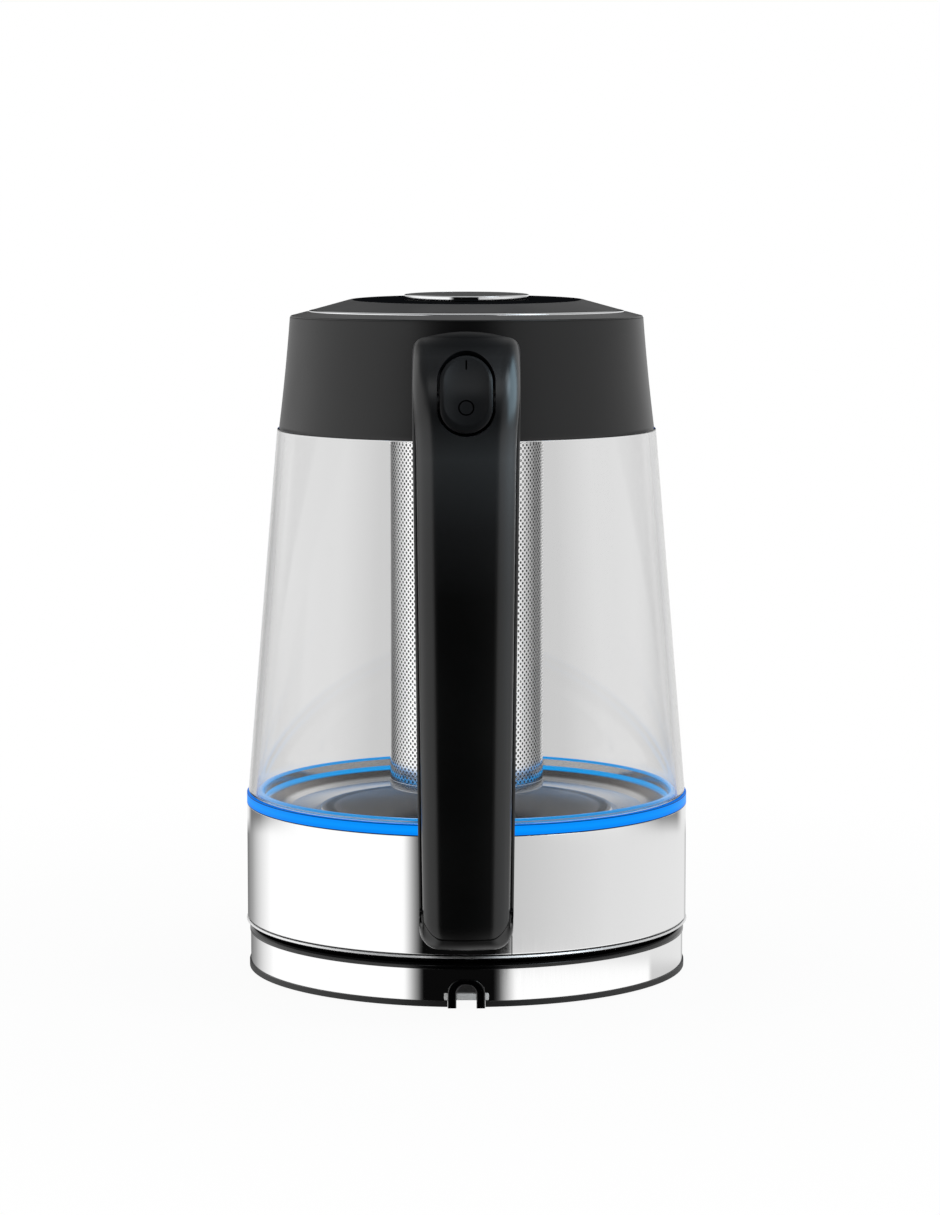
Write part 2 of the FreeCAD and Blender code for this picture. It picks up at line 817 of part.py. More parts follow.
def lid_seat():
    """Sleeve in the mouth that the lid seals against, with two slots for the latch bolts."""
    sleeve = ring(seat_bore, seat_bore + seat_wall, seat_top - seat_depth, seat_top)
    sleeve = sleeve.fuse(ring(seat_bore, mouth_radius - seat_gap, ledge_top, seat_top))
    half = bolt_width / 2 + run_gap
    end = bolt_nose_end + run_gap
    slots = block(-end, end, -half, half, bolt_z - run_gap, seat_top)
    return sleeve.cut(slots.cut(disc(seat_bore - seat_gap, 0, far))).removeSplitter()


# Handle, drawn in the plane X = 0 as (distance from the axis, level)

slant = math.radians(handle_slant)
grip_normal = (math.cos(slant), -math.sin(slant))
top_centre = (handle_reach - handle_top_arc, handle_top - handle_top_arc)
grip_fall = (top_centre[1] - handle_top_arc * math.sin(slant) + handle_bottom_arc * math.sin(slant)
             - handle_z - handle_bottom_arc) / math.cos(slant)
bottom_centre = (top_centre[0] + (handle_top_arc - handle_bottom_arc) * grip_normal[0] - grip_fall * math.sin(slant),
                 handle_z + handle_bottom_arc)
finger_centre_top = (top_centre[0] + (handle_top_arc - handle_depth) / math.cos(slant) - finger_corner
                     + (finger_top - finger_corner - top_centre[1]) * math.tan(slant), finger_top - finger_corner)
finger_centre_low = (finger_centre_top[0] - (finger_centre_top[1] - finger_z - finger_corner) * math.tan(slant),
                     finger_z + finger_corner)


def side_point(centre, radius, degrees):
    """Point of an arc in the side view of the handle."""
    angle = math.radians(degrees)
    return Vector(0, -centre[0] - radius * math.cos(angle), centre[1] + radius * math.sin(angle))


def side_arc(centre, radius, start, end):
    """Arc in the side view of the handle."""
    return Part.Arc(side_point(centre, radius, start), side_point(centre, radius, (start + end) / 2),
                    side_point(centre, radius, end)).toShape()


def side_face(edges):
    """Face of arcs in the side view, with straight edges drawn between their ends."""
    closed = []
    for edge, after in zip(edges, edges[1:] + edges[:1]):
        closed.append(edge)
        start = edge.valueAt(edge.LastParameter)
        end = after.valueAt(after.FirstParameter)
        closed.append(Part.LineSegment(start, end).toShape())
    return Part.Face(Part.Wire(closed))


def side_line(r_start, z_start, r_end, z_end):
    """Straight edge in the side view of the handle."""
    return Part.LineSegment(Vector(0, -r_start, z_start), Vector(0, -r_end, z_end)).toShape()


def thick_face(face, half_width):
    """Side view face, given a width about the plane X = 0."""
    solid = face.extrude(Vector(2 * half_width, 0, 0))
    solid.translate(Vector(-half_width, 0, 0))
    return solid


def handle_outline(inset, top_start, foot_start):
    """Side view of the handle: grip, top arm and foot, moved in by an inset."""
    fingers = finger_corner + inset
    return side_face([
        side_line(top_start, finger_top + inset, top_start, handle_top - inset),
        side_arc(top_centre, handle_top_arc - inset, 90, -handle_slant),
        side_arc(bottom_centre, handle_bottom_arc - inset, -handle_slant, -90),
        side_line(foot_start, handle_z + inset, foot_start, finger_z - inset),
        side_arc(finger_centre_low, fingers, -90, -handle_slant),
        side_arc(finger_centre_top, fingers, -handle_slant, 90)])


def handle_taper(margin):
    """Back view of the handle: narrower at its foot."""
    top = handle_width_top / 2 - margin
    low = handle_width_bottom / 2 - margin
    return upright_prism([(-low, handle_z), (low, handle_z), (top, handle_top), (-top, handle_top)], far)


def handle_body(margin):
    """Rounded solid of the whole handle, with each side moved in by a margin."""
    face = handle_outline(0, neck_radius, housing_radius)
    body = thick_face(face, handle_width_top).common(handle_taper(margin))
    sides = [edge for edge in body.Edges if is_side_edge(edge)]
    return body.makeFillet(handle_round, sides)


def is_side_edge(edge):
    """True for a long edge on either side of the handle, not at its two ends."""
    box = edge.BoundBox
    lies_on_side = box.XMin > 0 or box.XMax < 0
    upright_end = box.YLength < seat_gap
    return lies_on_side and not upright_end


def cover_layer(extra):
    """The layer of the handle that belongs to the outer cover."""
    depth = cover_depth + extra
    low = cover_z - extra
    fall = (top_centre[1] - low) * math.tan(slant)
    inner = top_centre[0] + (handle_top_arc - depth) / math.cos(slant) - fall
    outer = handle_reach + handle_round
    face = side_face([
        side_line(neck_radius, handle_top + handle_round, outer, handle_top + handle_round),
        side_line(outer, low, inner, low),
        side_arc(top_centre, handle_top_arc - depth, -handle_slant, 90),
        side_line(neck_radius, handle_top - depth, neck_radius, handle_top)])
    return thick_face(face, handle_width_top)


def body_room():
    """Collar and skirt with a clearance, which the handle is cut away from."""
    return collar_core(seat_gap).fuse(disc(skirt_radius + seat_gap, jug_z, skirt_top))


def handle_cavity():
    """Hollow inside the handle for the switch and its wires."""
    face = handle_outline(handle_wall, collar_bottom_radius + handle_end_wall, skirt_radius + handle_end_wall)
    return thick_face(face, handle_width_top).common(handle_taper(handle_side_wall))


def rocker_prism(margin):
    """Oval seen from the back of the handle, grown by a margin."""
    width = rocker_width + 2 * margin
    height = rocker_height + 2 * margin
    straight = (height - width) / 2
    depth = handle_reach - top_centre[0]
    middle = block(-width / 2, width / 2, -handle_reach, -top_centre[0], rocker_z - straight, rocker_z + straight)
    for z in (rocker_z - straight, rocker_z + straight):
        middle = middle.fuse(Part.makeCylinder(width / 2, depth, Vector(0, -handle_reach, z), Vector(0, 1, 0)))
    return middle.removeSplitter()


def handle_cover():
    """Outer shell of the handle, with the opening for the rocker."""
    cover = handle_body(cover_step).common(cover_layer(0)).cut(body_room())
    return cover.cut(handle_cavity()).cut(rocker_prism(rocker_groove)).removeSplitter()


def handle_inner():
    """Inner shell of the handle, with arms to collar and skirt and its screw holes."""
    inner = handle_body(0).cut(cover_layer(seam_gap)).cut(body_room()).cut(handle_cavity())
    for start, z in handle_screws_at():
        inner = inner.cut(radial_bar(handle_screw_radius + pin_gap, start, start + far, z)
                          .common(disc(screw_end(z) + run_gap, 0, far)))
    return inner.removeSplitter()


def handle_screws_at():
    """Head seat and level of each handle screw."""
    upper = (screw_seat_radius(), collar_top - handle_top_screw_drop)
    return [upper] + [(housing_bore, z) for z in foot_screw_levels()]


def screw_end(z):
    """Distance of the tip of a handle screw from the axis."""
    surface = skirt_radius if z < skirt_top else collar_radius(z)
    return surface + handle_screw_grip


def handle_screws():
    """Screws from inside the jug into the handle."""
    screws = []
    for seat, z in handle_screws_at():
        head = radial_bar(handle_screw_head_radius, seat - handle_screw_head_height, seat, z)
        if z < skirt_top:
            head = head.common(disc(housing_bore - seat_gap, 0, far))
        screws.append(head.fuse(radial_bar(handle_screw_radius, seat - handle_screw_head_height,
                                           screw_end(z), z)).removeSplitter())
    return Part.makeCompound(screws)


# Rocker switch


def pin_distance():
    """Distance of the rocker pin from the axis of the jug."""
    rise = pin_z - top_centre[1]
    return top_centre[0] + math.sqrt(handle_top_arc ** 2 - rise ** 2) - rocker_pin_depth


def cross_bar(radius, half_width, distance, z):
    """Round bar along X."""
    return Part.makeCylinder(radius, 2 * half_width, Vector(-half_width, -distance, z), Vector(1, 0, 0))


def shell_of_arc(inset, depth):
    """Layer of the handle under its outer face."""
    outer = thick_face(handle_outline(inset, neck_radius, housing_radius), handle_width_top)
    return outer.cut(thick_face(handle_outline(inset + depth, neck_radius, housing_radius), handle_width_top))


def switch_rocker():
    """Oval rocker that follows the bend of the handle, with a lug for its pin."""
    rocker = shell_of_arc(rocker_inset, rocker_depth).common(rocker_prism(0))
    lug = cross_bar(rocker_lug_radius, rocker_lug_width / 2, pin_distance(), pin_z)
    hole = cross_bar(rocker_pin_radius + pin_gap, handle_width_top, pin_distance(), pin_z)
    return rocker.fuse(lug).cut(hole).removeSplitter()


def rocker_pin():
    """Steel pin of the rocker."""
    return cross_bar(rocker_pin_radius, cheek_inside() + cheek_wall, pin_distance(), pin_z)


def cheek_inside():
    """Half of the room between the two cheeks of the switch frame."""
    return rocker_width / 2 + run_gap


def switch_frame():
    """Frame in the handle: two cheeks that hold the pin, on a back plate."""
    distance = pin_distance()
    half = cheek_inside() + cheek_wall
    plate_face = distance - switch_plate_gap
    low = pin_z - switch_plate_height / 2
    frame = block(-half, half, -plate_face, -plate_face + switch_plate, low, low + switch_plate_height)
    for side in (-1, 1):
        near = side * cheek_inside()
        out = side * half
        cheek = block(min(near, out), max(near, out), -distance, -plate_face, pin_z - cheek_radius, pin_z + cheek_radius)
        tip = Part.makeCylinder(cheek_radius, cheek_wall, Vector(min(near, out), -distance, pin_z), Vector(1, 0, 0))
        frame = frame.fuse(cheek.fuse(tip))
    frame = frame.cut(cross_bar(rocker_pin_radius + pin_gap, half, distance, pin_z))
    return frame.removeSplitter()


def micro_switch():
    """Contact block of the switch on the back plate."""
    face = pin_distance() - switch_plate_gap
    half = micro_switch_width / 2
    return block(-half, half, -face - micro_switch_depth, -face,
                 pin_z - switch_plate_height / 2, pin_z + switch_plate_height / 2)


def steam_thermostat():
    """Snap switch in the top arm of the handle, on the floor of the hollow."""
    y = -(collar_bottom_radius + handle_end_wall + steam_disc_gap)
    low = finger_top + handle_wall
    return disc(steam_disc_radius, low, low + steam_disc_height, 0, y)


# Lid


def lid_cap():
    """Black lid top: flat centre, shallow cone and a skirt."""
    bore = button_radius + run_gap
    skirt_in = lid_radius - lid_skirt_wall
    return turned([(bore, lid_top - lid_thickness), (bore, lid_top), (lid_flat_radius, lid_top), (lid_radius, lid_edge),
                   (lid_radius, lid_z + lid_flange), (skirt_in, lid_z + lid_flange),
                   (skirt_in, lid_edge - lid_thickness), (lid_flat_radius, lid_top - lid_thickness)])


def lid_trim_ring():
    """Chrome ring round the edge of the lid."""
    return ring(lid_radius + pin_gap, lid_radius + trim_width, lid_edge - trim_height, lid_edge)


def lid_plug():
    """Lower half of the lid: flange, wall, floor, button guide, bolt rails and bayonet."""
    plug = ring(plug_radius - plug_wall, plug_radius, plug_z, lid_z + lid_flange)
    plug = plug.fuse(ring(plug_radius, lid_radius - seat_gap, lid_z, lid_z + lid_flange))
    plug = plug.fuse(disc(plug_radius - plug_wall, plug_z, plug_floor_top))
    guide_bore = stem_radius + run_gap + spring_wire + run_gap
    plug = plug.fuse(ring(guide_bore, guide_bore + guide_wall, plug_floor_top, plug_floor_top + guide_height))
    for side in (-1, 1):
        ends = (side * bolt_inner_end, side * (plug_radius - plug_wall))
        plug = plug.fuse(block(min(ends), max(ends), -bolt_width / 2, bolt_width / 2,
                               plug_floor_top, plug_floor_top + bolt_rail_height))
    seal_low = plug_z + lid_seal_groove
    seal_bore = plug_radius - lid_seal_groove
    plug = plug.cut(ring(seal_bore, plug_radius, seal_low, seal_low + lid_seal_height))
    half = bolt_width / 2 + run_gap
    window = block(-plug_radius, plug_radius, -half, half, bolt_z - run_gap, bolt_top + run_gap)
    plug = plug.cut(window.cut(disc(plug_radius - plug_wall, 0, far)))
    return plug.fuse(bayonet_ring()).removeSplitter()


def bayonet_ring():
    """Ring under the lid with a groove for the lugs of the infuser and two ways in."""
    low = plug_z - infuser_ring_height
    groove = bayonet_bore + bayonet_groove
    body = ring(bayonet_bore, bayonet_bore + bayonet_wall, low, plug_z)
    body = body.cut(ring(bayonet_bore, groove, low + bayonet_floor - run_gap,
                         low + bayonet_floor + lug_height + run_gap))
    half = lug_width / 2 + run_gap
    entry = block(-groove, groove, -half, half, low, low + bayonet_floor).common(disc(groove, 0, far))
    return body.cut(turned_about_axis(entry, -bayonet_turn))


def lid_seal():
    """Silicone ring round the plug."""
    low = plug_z + lid_seal_groove
    return ring(plug_radius - lid_seal_groove + pin_gap, plug_radius + lid_seal_reach, low, low + lid_seal_height)


def button_core_radius():
    """Radius of the dark button inside its chrome band."""
    return button_radius - button_trim_wall - pin_gap


def lid_button():
    """Push button with its stem and the two wedges that draw the bolts in."""
    button = disc(button_core_radius(), lid_top - button_depth, button_top)
    button = button.fuse(ring(button_core_radius(), button_radius, lid_top - button_depth, trim_z()))
    button = button.fuse(disc(stem_radius, plug_floor_top + stem_tip_gap, lid_top - button_depth))
    for side in (-1, 1):
        button = button.fuse(upright_prism([(side * x, z) for x, z in wedge_corners()], wedge_width))
    return button.removeSplitter()


def trim_z():
    """Lower edge of the chrome band of the button."""
    return lid_top - button_trim_drop + run_gap


def wedge_corners():
    """Wedge under the button: its inner face leans in at 45 degrees as it rises."""
    low = bolt_top + button_travel + run_gap
    high = lid_top - button_depth
    face = bolt_inner_end + bolt_tab_foot + run_gap * math.sqrt(2) - (low - bolt_top)
    return [(face, low), (wedge_outer_face, low), (wedge_outer_face, high), (face - (high - low), high)]


def lid_button_trim():
    """Chrome band round the button."""
    return ring(button_radius - button_trim_wall, button_radius, trim_z(), trim_z() + button_trim_height)


def button_spring():
    """Return spring of the button, as the tube that its coils fill."""
    bore = stem_radius + run_gap
    return ring(bore, bore + spring_wire, plug_floor_top, lid_top - button_depth)


def latch_bolt(side):
    """Latch bolt with a leaning tab that the wedge pushes inwards."""
    ends = (side * bolt_inner_end, side * bolt_nose_end)
    bolt = block(min(ends), max(ends), -bolt_width / 2, bolt_width / 2, bolt_z, bolt_top)
    corners = [(bolt_inner_end, bolt_top), (bolt_inner_end + bolt_tab_foot, bolt_top),
               (bolt_inner_end + bolt_tab_foot - bolt_tab_height, bolt_top + bolt_tab_height),
               (bolt_inner_end, bolt_top + bolt_tab_height)]
    tab = upright_prism([(side * x, z) for x, z in corners], wedge_width)
    return bolt.fuse(tab).removeSplitter()


# Infuser


def infuser_top():
    """Upper edge of the infuser, just under the lid."""
    return plug_z - run_gap


def infuser_tube():
    """Thin steel tube, perforated on the real object."""
    return ring(infuser_radius - infuser_wall, infuser_radius, infuser_z, infuser_top())


def infuser_floor():
    """Disc pressed into the lower end of the tube."""
    return disc(infuser_radius - infuser_wall - pin_gap, infuser_z, infuser_z + infuser_floor_thickness)


def infuser_ring():
    """Plastic ring on the tube with two bayonet lugs."""
    low = plug_z - infuser_ring_height
    body = ring(infuser_radius + seat_gap, infuser_ring_radius, low, infuser_top())
    reach = infuser_ring_radius + lug_reach
    lugs = block(-reach, reach, -lug_width / 2, lug_width / 2, low + bayonet_floor, low + bayonet_floor + lug_height)
    lugs = lugs.common(disc(reach, 0, far)).cut(disc(infuser_radius + seat_gap, 0, far))
    return body.fuse(lugs).removeSplitter()


pieces = {
    "base_tray": base_tray,
    "base_hub_cover": base_hub_cover,
    "base_screws": base_screws,
    "base_feet": base_feet,
    "base_trim_band": base_trim_band,
    "base_top_cover": base_top_cover,
    "base_connector_post": base_connector_post,
    "base_contacts": base_contacts,
    "cord_gland": cord_gland,
    "kettle_socket": kettle_socket,
    "socket_contacts": socket_contacts,
    "bottom_cover": bottom_cover,
    "bottom_screws": bottom_screws,
    "lower_housing": lower_housing,
    "skirt_band": skirt_band,
    "light_ring": light_ring,
    "led_strip": led_strip,
    "leds": leds,
    "heater_pan": heater_pan,
    "pan_seal": pan_seal,
    "heat_spreader": heat_spreader,
    "heating_element": heating_element,
    "control_unit": control_unit,
    "bimetal_discs": bimetal_discs,
    "glass_jug": glass_jug,
    "neck_seal": neck_seal,
    "collar": collar,
    "lid_seat": lid_seat,
    "handle_cover": handle_cover,
    "handle_inner": handle_inner,
    "handle_screws": handle_screws,
    "switch_rocker": switch_rocker,
    "rocker_pin": rocker_pin,
    "switch_frame": switch_frame,
    "micro_switch": micro_switch,
    "steam_thermostat": steam_thermostat,
    "lid_cap": lid_cap,
    "lid_trim_ring": lid_trim_ring,
    "lid_plug": lid_plug,
    "lid_seal": lid_seal,
    "lid_button": lid_button,
    "lid_button_trim": lid_button_trim,
    "button_spring": button_spring,
    "infuser_tube": infuser_tube,
    "infuser_floor": infuser_floor,
    "infuser_ring": infuser_ring,
}

os.makedirs("parts", exist_ok=True)
for node, make in pieces.items():
    make().exportStep(f"parts/{node}.step")
for name, side in (("latch_bolt_left", -1), ("latch_bolt_right", 1)):
    latch_bolt(side).exportStep(f"parts/{name}.step")
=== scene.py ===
import math

import bmesh
import bpy
import numpy as np
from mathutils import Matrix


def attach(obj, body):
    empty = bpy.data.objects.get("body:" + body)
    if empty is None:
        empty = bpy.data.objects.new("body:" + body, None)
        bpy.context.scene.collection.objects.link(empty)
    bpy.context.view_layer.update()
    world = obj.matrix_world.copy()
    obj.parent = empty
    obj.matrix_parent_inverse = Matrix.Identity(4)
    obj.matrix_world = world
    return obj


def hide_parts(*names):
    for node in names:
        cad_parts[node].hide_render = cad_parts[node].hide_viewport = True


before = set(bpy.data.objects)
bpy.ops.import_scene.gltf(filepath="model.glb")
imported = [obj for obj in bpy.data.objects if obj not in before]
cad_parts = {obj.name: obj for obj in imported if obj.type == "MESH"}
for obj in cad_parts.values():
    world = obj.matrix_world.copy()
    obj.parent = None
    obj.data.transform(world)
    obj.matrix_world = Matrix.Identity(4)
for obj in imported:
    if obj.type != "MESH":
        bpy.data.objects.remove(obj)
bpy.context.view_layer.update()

# Electric glass kettle seen from behind, with its handle towards the camera (-Y).
# Sizes are in millimetres, in the frame of the part, and become metres when a mesh is made.

# Camera: a long lens 1.48 m behind the kettle and 0.3 m above the table, tilted down by 6.6 degrees.
scene = bpy.context.scene
camera = bpy.data.objects.new("camera", bpy.data.cameras.new("camera"))
camera.data.lens = 121.3
camera.data.sensor_width = 36.0
camera.location = (0.00123, -1.477, 0.3034)
camera.rotation_euler = (math.radians(83.36), 0.0, 0.0)
scene.collection.objects.link(camera)
scene.camera = camera
scene.view_settings.view_transform = "Standard"


# Studio: what steel, glass and plastic mirror. A white sweep stands on the left and a pale grey card on the
# right, and the room behind the camera is unlit. The camera itself sees plain white, and rays that have
# passed the glass see a grey lit panel.
def linear(code):
    """An sRGB hex colour as the linear RGBA that shaders take."""
    srgb = np.array([int(code[i:i + 2], 16) for i in (1, 3, 5)]) / 255.0
    low = srgb / 12.92
    high = ((srgb + 0.055) / 1.055) ** 2.4
    return tuple(float(v) for v in np.where(srgb <= 0.04045, low, high)) + (1.0,)


def add(tree, kind, inputs=None, **properties):
    """Add a shader node: an input that is given a socket is linked, any other value is set."""
    made = tree.nodes.new("ShaderNode" + kind)
    for key, value in properties.items():
        setattr(made, key, value)
    for key, value in (inputs or {}).items():
        if isinstance(value, bpy.types.NodeSocket):
            tree.links.new(value, made.inputs[key])
        else:
            made.inputs[key].default_value = value
    return made


def ramp(tree, factor, stops):
    """Colours between (position, grey level or RGBA) stops along a factor of 0 to 1."""
    made = add(tree, "ValToRGB", {"Fac": factor})
    bar = made.color_ramp.elements
    while len(bar) < len(stops):
        bar.new(1.0)
    for element, (position, level) in zip(bar, stops):
        element.position = position
        element.color = level if isinstance(level, tuple) else (level, level, level, 1.0)
    return made.outputs["Color"]


white = (1.0, 1.0, 1.0, 1.0)
world = bpy.data.worlds.new("studio")
world.use_nodes = True
scene.world = world
sky = world.node_tree
sky.nodes.clear()
heading = add(sky, "TexCoord").outputs["Generated"]
toward = add(sky, "SeparateXYZ", {"Vector": heading})
backward = add(sky, "Math", {0: toward.outputs["Y"], 1: -1.0}, operation="MULTIPLY")
azimuth = add(sky, "Math", {0: toward.outputs["X"], 1: backward.outputs[0]}, operation="ARCTAN2")
share = add(sky, "MapRange", {"Value": azimuth.outputs[0], "From Min": -math.pi, "From Max": math.pi})
# greys round the horizon, from beyond the kettle (0) by the left to the camera (0.5), and by the right to 1
left_edge = [(0.05, 0.26), (0.076, 0.37), (0.119, 0.77)]
white_sweep = [(0.155, 1.05), (0.409, 1.05), (0.424, 0.36), (0.435, 0.003)]
grey_card = [(0.560, 0.003), (0.5635, 0.57)]
by_base = ([(0.0, 0.12)] + left_edge + white_sweep
           + [(0.541, 0.003), (0.5466, 0.07), (0.572, 1.05), (0.812, 1.05), (0.822, 0.62), (1.0, 0.58)])
by_skirt = ([(0.0, 0.12)] + left_edge + white_sweep + grey_card
            + [(0.636, 0.66), (0.716, 0.75), (0.82, 0.79), (0.95, 0.81), (1.0, 0.12)])
by_infuser = ([(0.0, 0.95), (0.045, 0.80), (0.07, 0.20), (0.115, 0.22), (0.167, 0.60), (0.237, 1.05)]
              + white_sweep[1:] + grey_card
              + [(0.66, 0.95), (0.738, 0.87), (0.80, 0.45), (0.84, 0.22), (0.90, 0.25), (0.93, 0.80),
                 (1.0, 0.95)])
by_glass = ([(0.0, 0.01), (0.016, 0.02), (0.03, 0.6), (0.119, 0.8)] + white_sweep + grey_card
            + [(0.716, 0.75), (0.97, 0.81), (0.984, 0.02), (1.0, 0.01)])
by_collar = ([(0.0, 0.60)] + left_edge
             + [(0.155, 1.05), (0.31, 1.05), (0.36, 0.60), (0.41, 0.22), (0.435, 0.04), (0.540, 0.04),
                (0.565, 0.58), (1.0, 0.60)])
ceiling_grey = (0.24, 0.25, 0.26, 1.0)
ceiling = [(0.0, ceiling_grey), (1.0, ceiling_grey)]
# each ring of greys comes in between two slopes of the ray, from straight down to straight up
layers = [(-1.0, -0.9, by_base), (-0.2025, -0.1995, by_skirt), (-0.170, -0.166, by_infuser),
          (-0.06, -0.02, by_glass), (0.12, 0.34, by_collar), (0.50, 0.70, ceiling)]
mirrored = (0.0, 0.0, 0.0, 1.0)
for low, high, stops in layers:
    height = add(sky, "MapRange", {"Value": toward.outputs["Z"], "From Min": low, "From Max": high})
    greys = ramp(sky, share.outputs[0], stops)
    mirrored = add(sky, "MixRGB", {"Fac": height.outputs[0], "Color1": mirrored, "Color2": greys}).outputs[0]


def behind_glass(tree, ray):
    """Grey of the lit panel behind the kettle as the glass shows it, by the slope to the side of the ray."""
    widest = 0.06
    part = add(tree, "SeparateXYZ", {"Vector": ray})
    slope = add(tree, "Math", {0: part.outputs["X"], 1: part.outputs["Y"]}, operation="DIVIDE")
    aside = add(tree, "Math", {0: slope.outputs[0]}, operation="ABSOLUTE")
    across = add(tree, "MapRange", {"Value": aside.outputs[0], "From Max": widest})
    panel_greys = [(0.30, 0.54), (0.45, 0.585), (0.62, 0.60), (0.74, 0.645), (0.88, 0.685), (1.0, 0.71)]
    return ramp(tree, across.outputs[0], panel_greys)


def past_glass(tree, path):
    """1 for a ray that has passed the glass alone, 0 for one that has also met the steel inside the jug."""
    unmirrored = add(tree, "Math", {0: path.outputs["Glossy Depth"], 1: 0.5}, operation="LESS_THAN")
    one_wall = add(tree, "Math", {0: path.outputs["Transmission Depth"], 1: 2.5}, operation="LESS_THAN")
    either = add(tree, "Math", {0: unmirrored.outputs[0], 1: one_wall.outputs[0]}, operation="MAXIMUM")
    passed = {0: path.outputs["Is Transmission Ray"], 1: either.outputs[0]}
    return add(tree, "Math", passed, operation="MULTIPLY").outputs[0]


path = add(sky, "LightPath")
glazed = add(sky, "MixRGB", {"Fac": past_glass(sky, path), "Color1": mirrored,
                             "Color2": behind_glass(sky, heading)})
seen = add(sky, "MixRGB", {"Fac": path.outputs["Is Camera Ray"], "Color1": glazed.outputs[0],
                           "Color2": white})
backdrop = add(sky, "Background", {"Color": seen.outputs[0], "Strength": 1.0})
sky.links.new(backdrop.outputs[0], add(sky, "OutputWorld").inputs["Surface"])

# Floor: a pale matt table that shows white and keeps the kettle's soft shadow. It is left out of the mirrors,
# so that steel shows the studio below the horizon.
floor_reach = 3.0
floor_corners = [(x * floor_reach, y * floor_reach, 0) for x, y in ((-1, -1), (1, -1), (1, 1), (-1, 1))]
floor_mesh = bpy.data.meshes.new("floor")
floor_mesh.from_pydata(floor_corners, [], [(0, 1, 2, 3)])
floor = bpy.data.objects.new("floor", floor_mesh)
scene.collection.objects.link(floor)
pale_table = bpy.data.materials.new("pale_table")
pale_table.use_nodes = True
tree = pale_table.node_tree
tree.nodes.clear()
matt = add(tree, "BsdfDiffuse", {"Color": linear("#f4f4f4")})
path = add(tree, "LightPath")
incoming = add(tree, "NewGeometry").outputs["Incoming"]
ray = add(tree, "VectorMath", {0: incoming, "Scale": -1.0}, operation="SCALE")
shown = add(tree, "MixRGB", {"Fac": path.outputs["Is Camera Ray"], "Color2": white,
                             "Color1": behind_glass(tree, ray.outputs[0])})
glow = add(tree, "Emission", {"Color": shown.outputs[0], "Strength": 1.0})
through = past_glass(tree, path)
plain = add(tree, "Math", {0: path.outputs["Is Camera Ray"], 1: through}, operation="MAXIMUM")
# by the distance from the axis in metres: all matt under the base, and beyond it a shadow that fades out
away = add(tree, "VectorMath", {0: add(tree, "TexCoord").outputs["Object"]}, operation="LENGTH")
fade = ramp(tree, away.outputs["Value"], [(0.053, 0.0), (0.057, 0.94), (0.15, 0.97), (0.4, 1.0)])
plain_share = add(tree, "Math", {0: plain.outputs[0], 1: fade}, operation="MULTIPLY")
shaded = add(tree, "MixShader", {"Fac": plain_share.outputs[0], 1: matt.outputs[0], 2: glow.outputs[0]})
# rays that met the steel inside the glass pass the table too
after = add(tree, "Math", {0: path.outputs["Is Transmission Ray"], 1: through}, operation="SUBTRACT")
clear = add(tree, "BsdfTransparent")
table = add(tree, "MixShader", {"Fac": after.outputs[0], 1: shaded.outputs[0], 2: clear.outputs[0]})
tree.links.new(table.outputs[0], add(tree, "OutputMaterial").inputs["Surface"])
floor_mesh.materials.append(pale_table)
floor.visible_glossy = False


# Soft boxes: a weak one over the camera and a cool one high on the right. A third one, for the handle, stands
# in the handle's section.
def soft_box(name, place, aim, width, depth, watts, colour):
    """Rectangular area light that faces a point; places and sizes are in metres."""
    lamp = bpy.data.lights.new(name, "AREA")
    lamp.shape = "RECTANGLE"
    lamp.size = width
    lamp.size_y = depth
    lamp.energy = watts
    lamp.color = linear(colour)[:3]
    made = bpy.data.objects.new(name, lamp)
    away = np.array(place) - np.array(aim)
    flat = math.hypot(away[0], away[1])
    made.location = place
    made.rotation_euler = (math.atan2(flat, away[2]), 0.0, math.atan2(away[1], away[0]) + math.pi / 2)
    made.visible_transmission = False
    scene.collection.objects.link(made)
    return made


soft_box("top_box", (0.0, -0.9, 1.2), (0, 0, 0.1), 1.0, 0.5, 1.1, "#ffffff")
soft_box("right_box", (0.9, -0.6, 1.3), (0, -0.1, 0.2), 0.5, 0.9, 4.5, "#e4f2fc")


# Power base. Tray, hub and post are moulded black plastic with a fine matt grain, and the cover on top of
# them comes from a polished mould; it is snapped into the tray from above.
def rounded(corners):
    """Closed outline from (radius, level, fillet) corners: each fillet is an arc, with a point on each side
    of it so that the straight parts stay straight when they are shaded smooth."""
    steps, guard, guard_most = 7, 0.6, 0.25
    outline = []
    count = len(corners)
    for index in range(count):
        here = np.array(corners[index][:2], float)
        before = np.array(corners[index - 1][:2], float) - here
        after = np.array(corners[(index + 1) % count][:2], float) - here
        fillet = corners[index][2]
        one = before / np.linalg.norm(before)
        two = after / np.linalg.norm(after)
        half = math.acos(max(-1.0, min(1.0, float(one @ two)))) / 2
        reach = fillet / math.tan(half)
        centre = here + (one + two) / np.linalg.norm(one + two) * fillet / math.sin(half)
        start = here + one * reach
        end = here + two * reach
        outline.append(start + one * min(guard * fillet, guard_most * (np.linalg.norm(before) - reach)))
        turn = np.linspace(0, 1, steps)[:, None]
        arc = (start - centre) * (1 - turn) + (end - centre) * turn
        arc = arc / np.linalg.norm(arc, axis=1, keepdims=True) * fillet + centre
        outline.extend(arc)
        outline.append(end + two * min(guard * fillet, guard_most * (np.linalg.norm(after) - reach)))
    return np.array(outline)


def skin(grid, wrap_rows, wrap_columns):
    """Points and quads of a grid of points, joined to its first row or column where it wraps."""
    rows, columns = grid.shape[:2]
    index = np.arange(rows * columns).reshape(rows, columns)
    if wrap_rows:
        index = np.vstack([index, index[:1]])
    if wrap_columns:
        index = np.hstack([index, index[:, :1]])
    quads = np.stack([index[:-1, :-1], index[:-1, 1:], index[1:, 1:], index[1:, :-1]], axis=-1)
    return grid.reshape(-1, 3), quads.reshape(-1, 4)


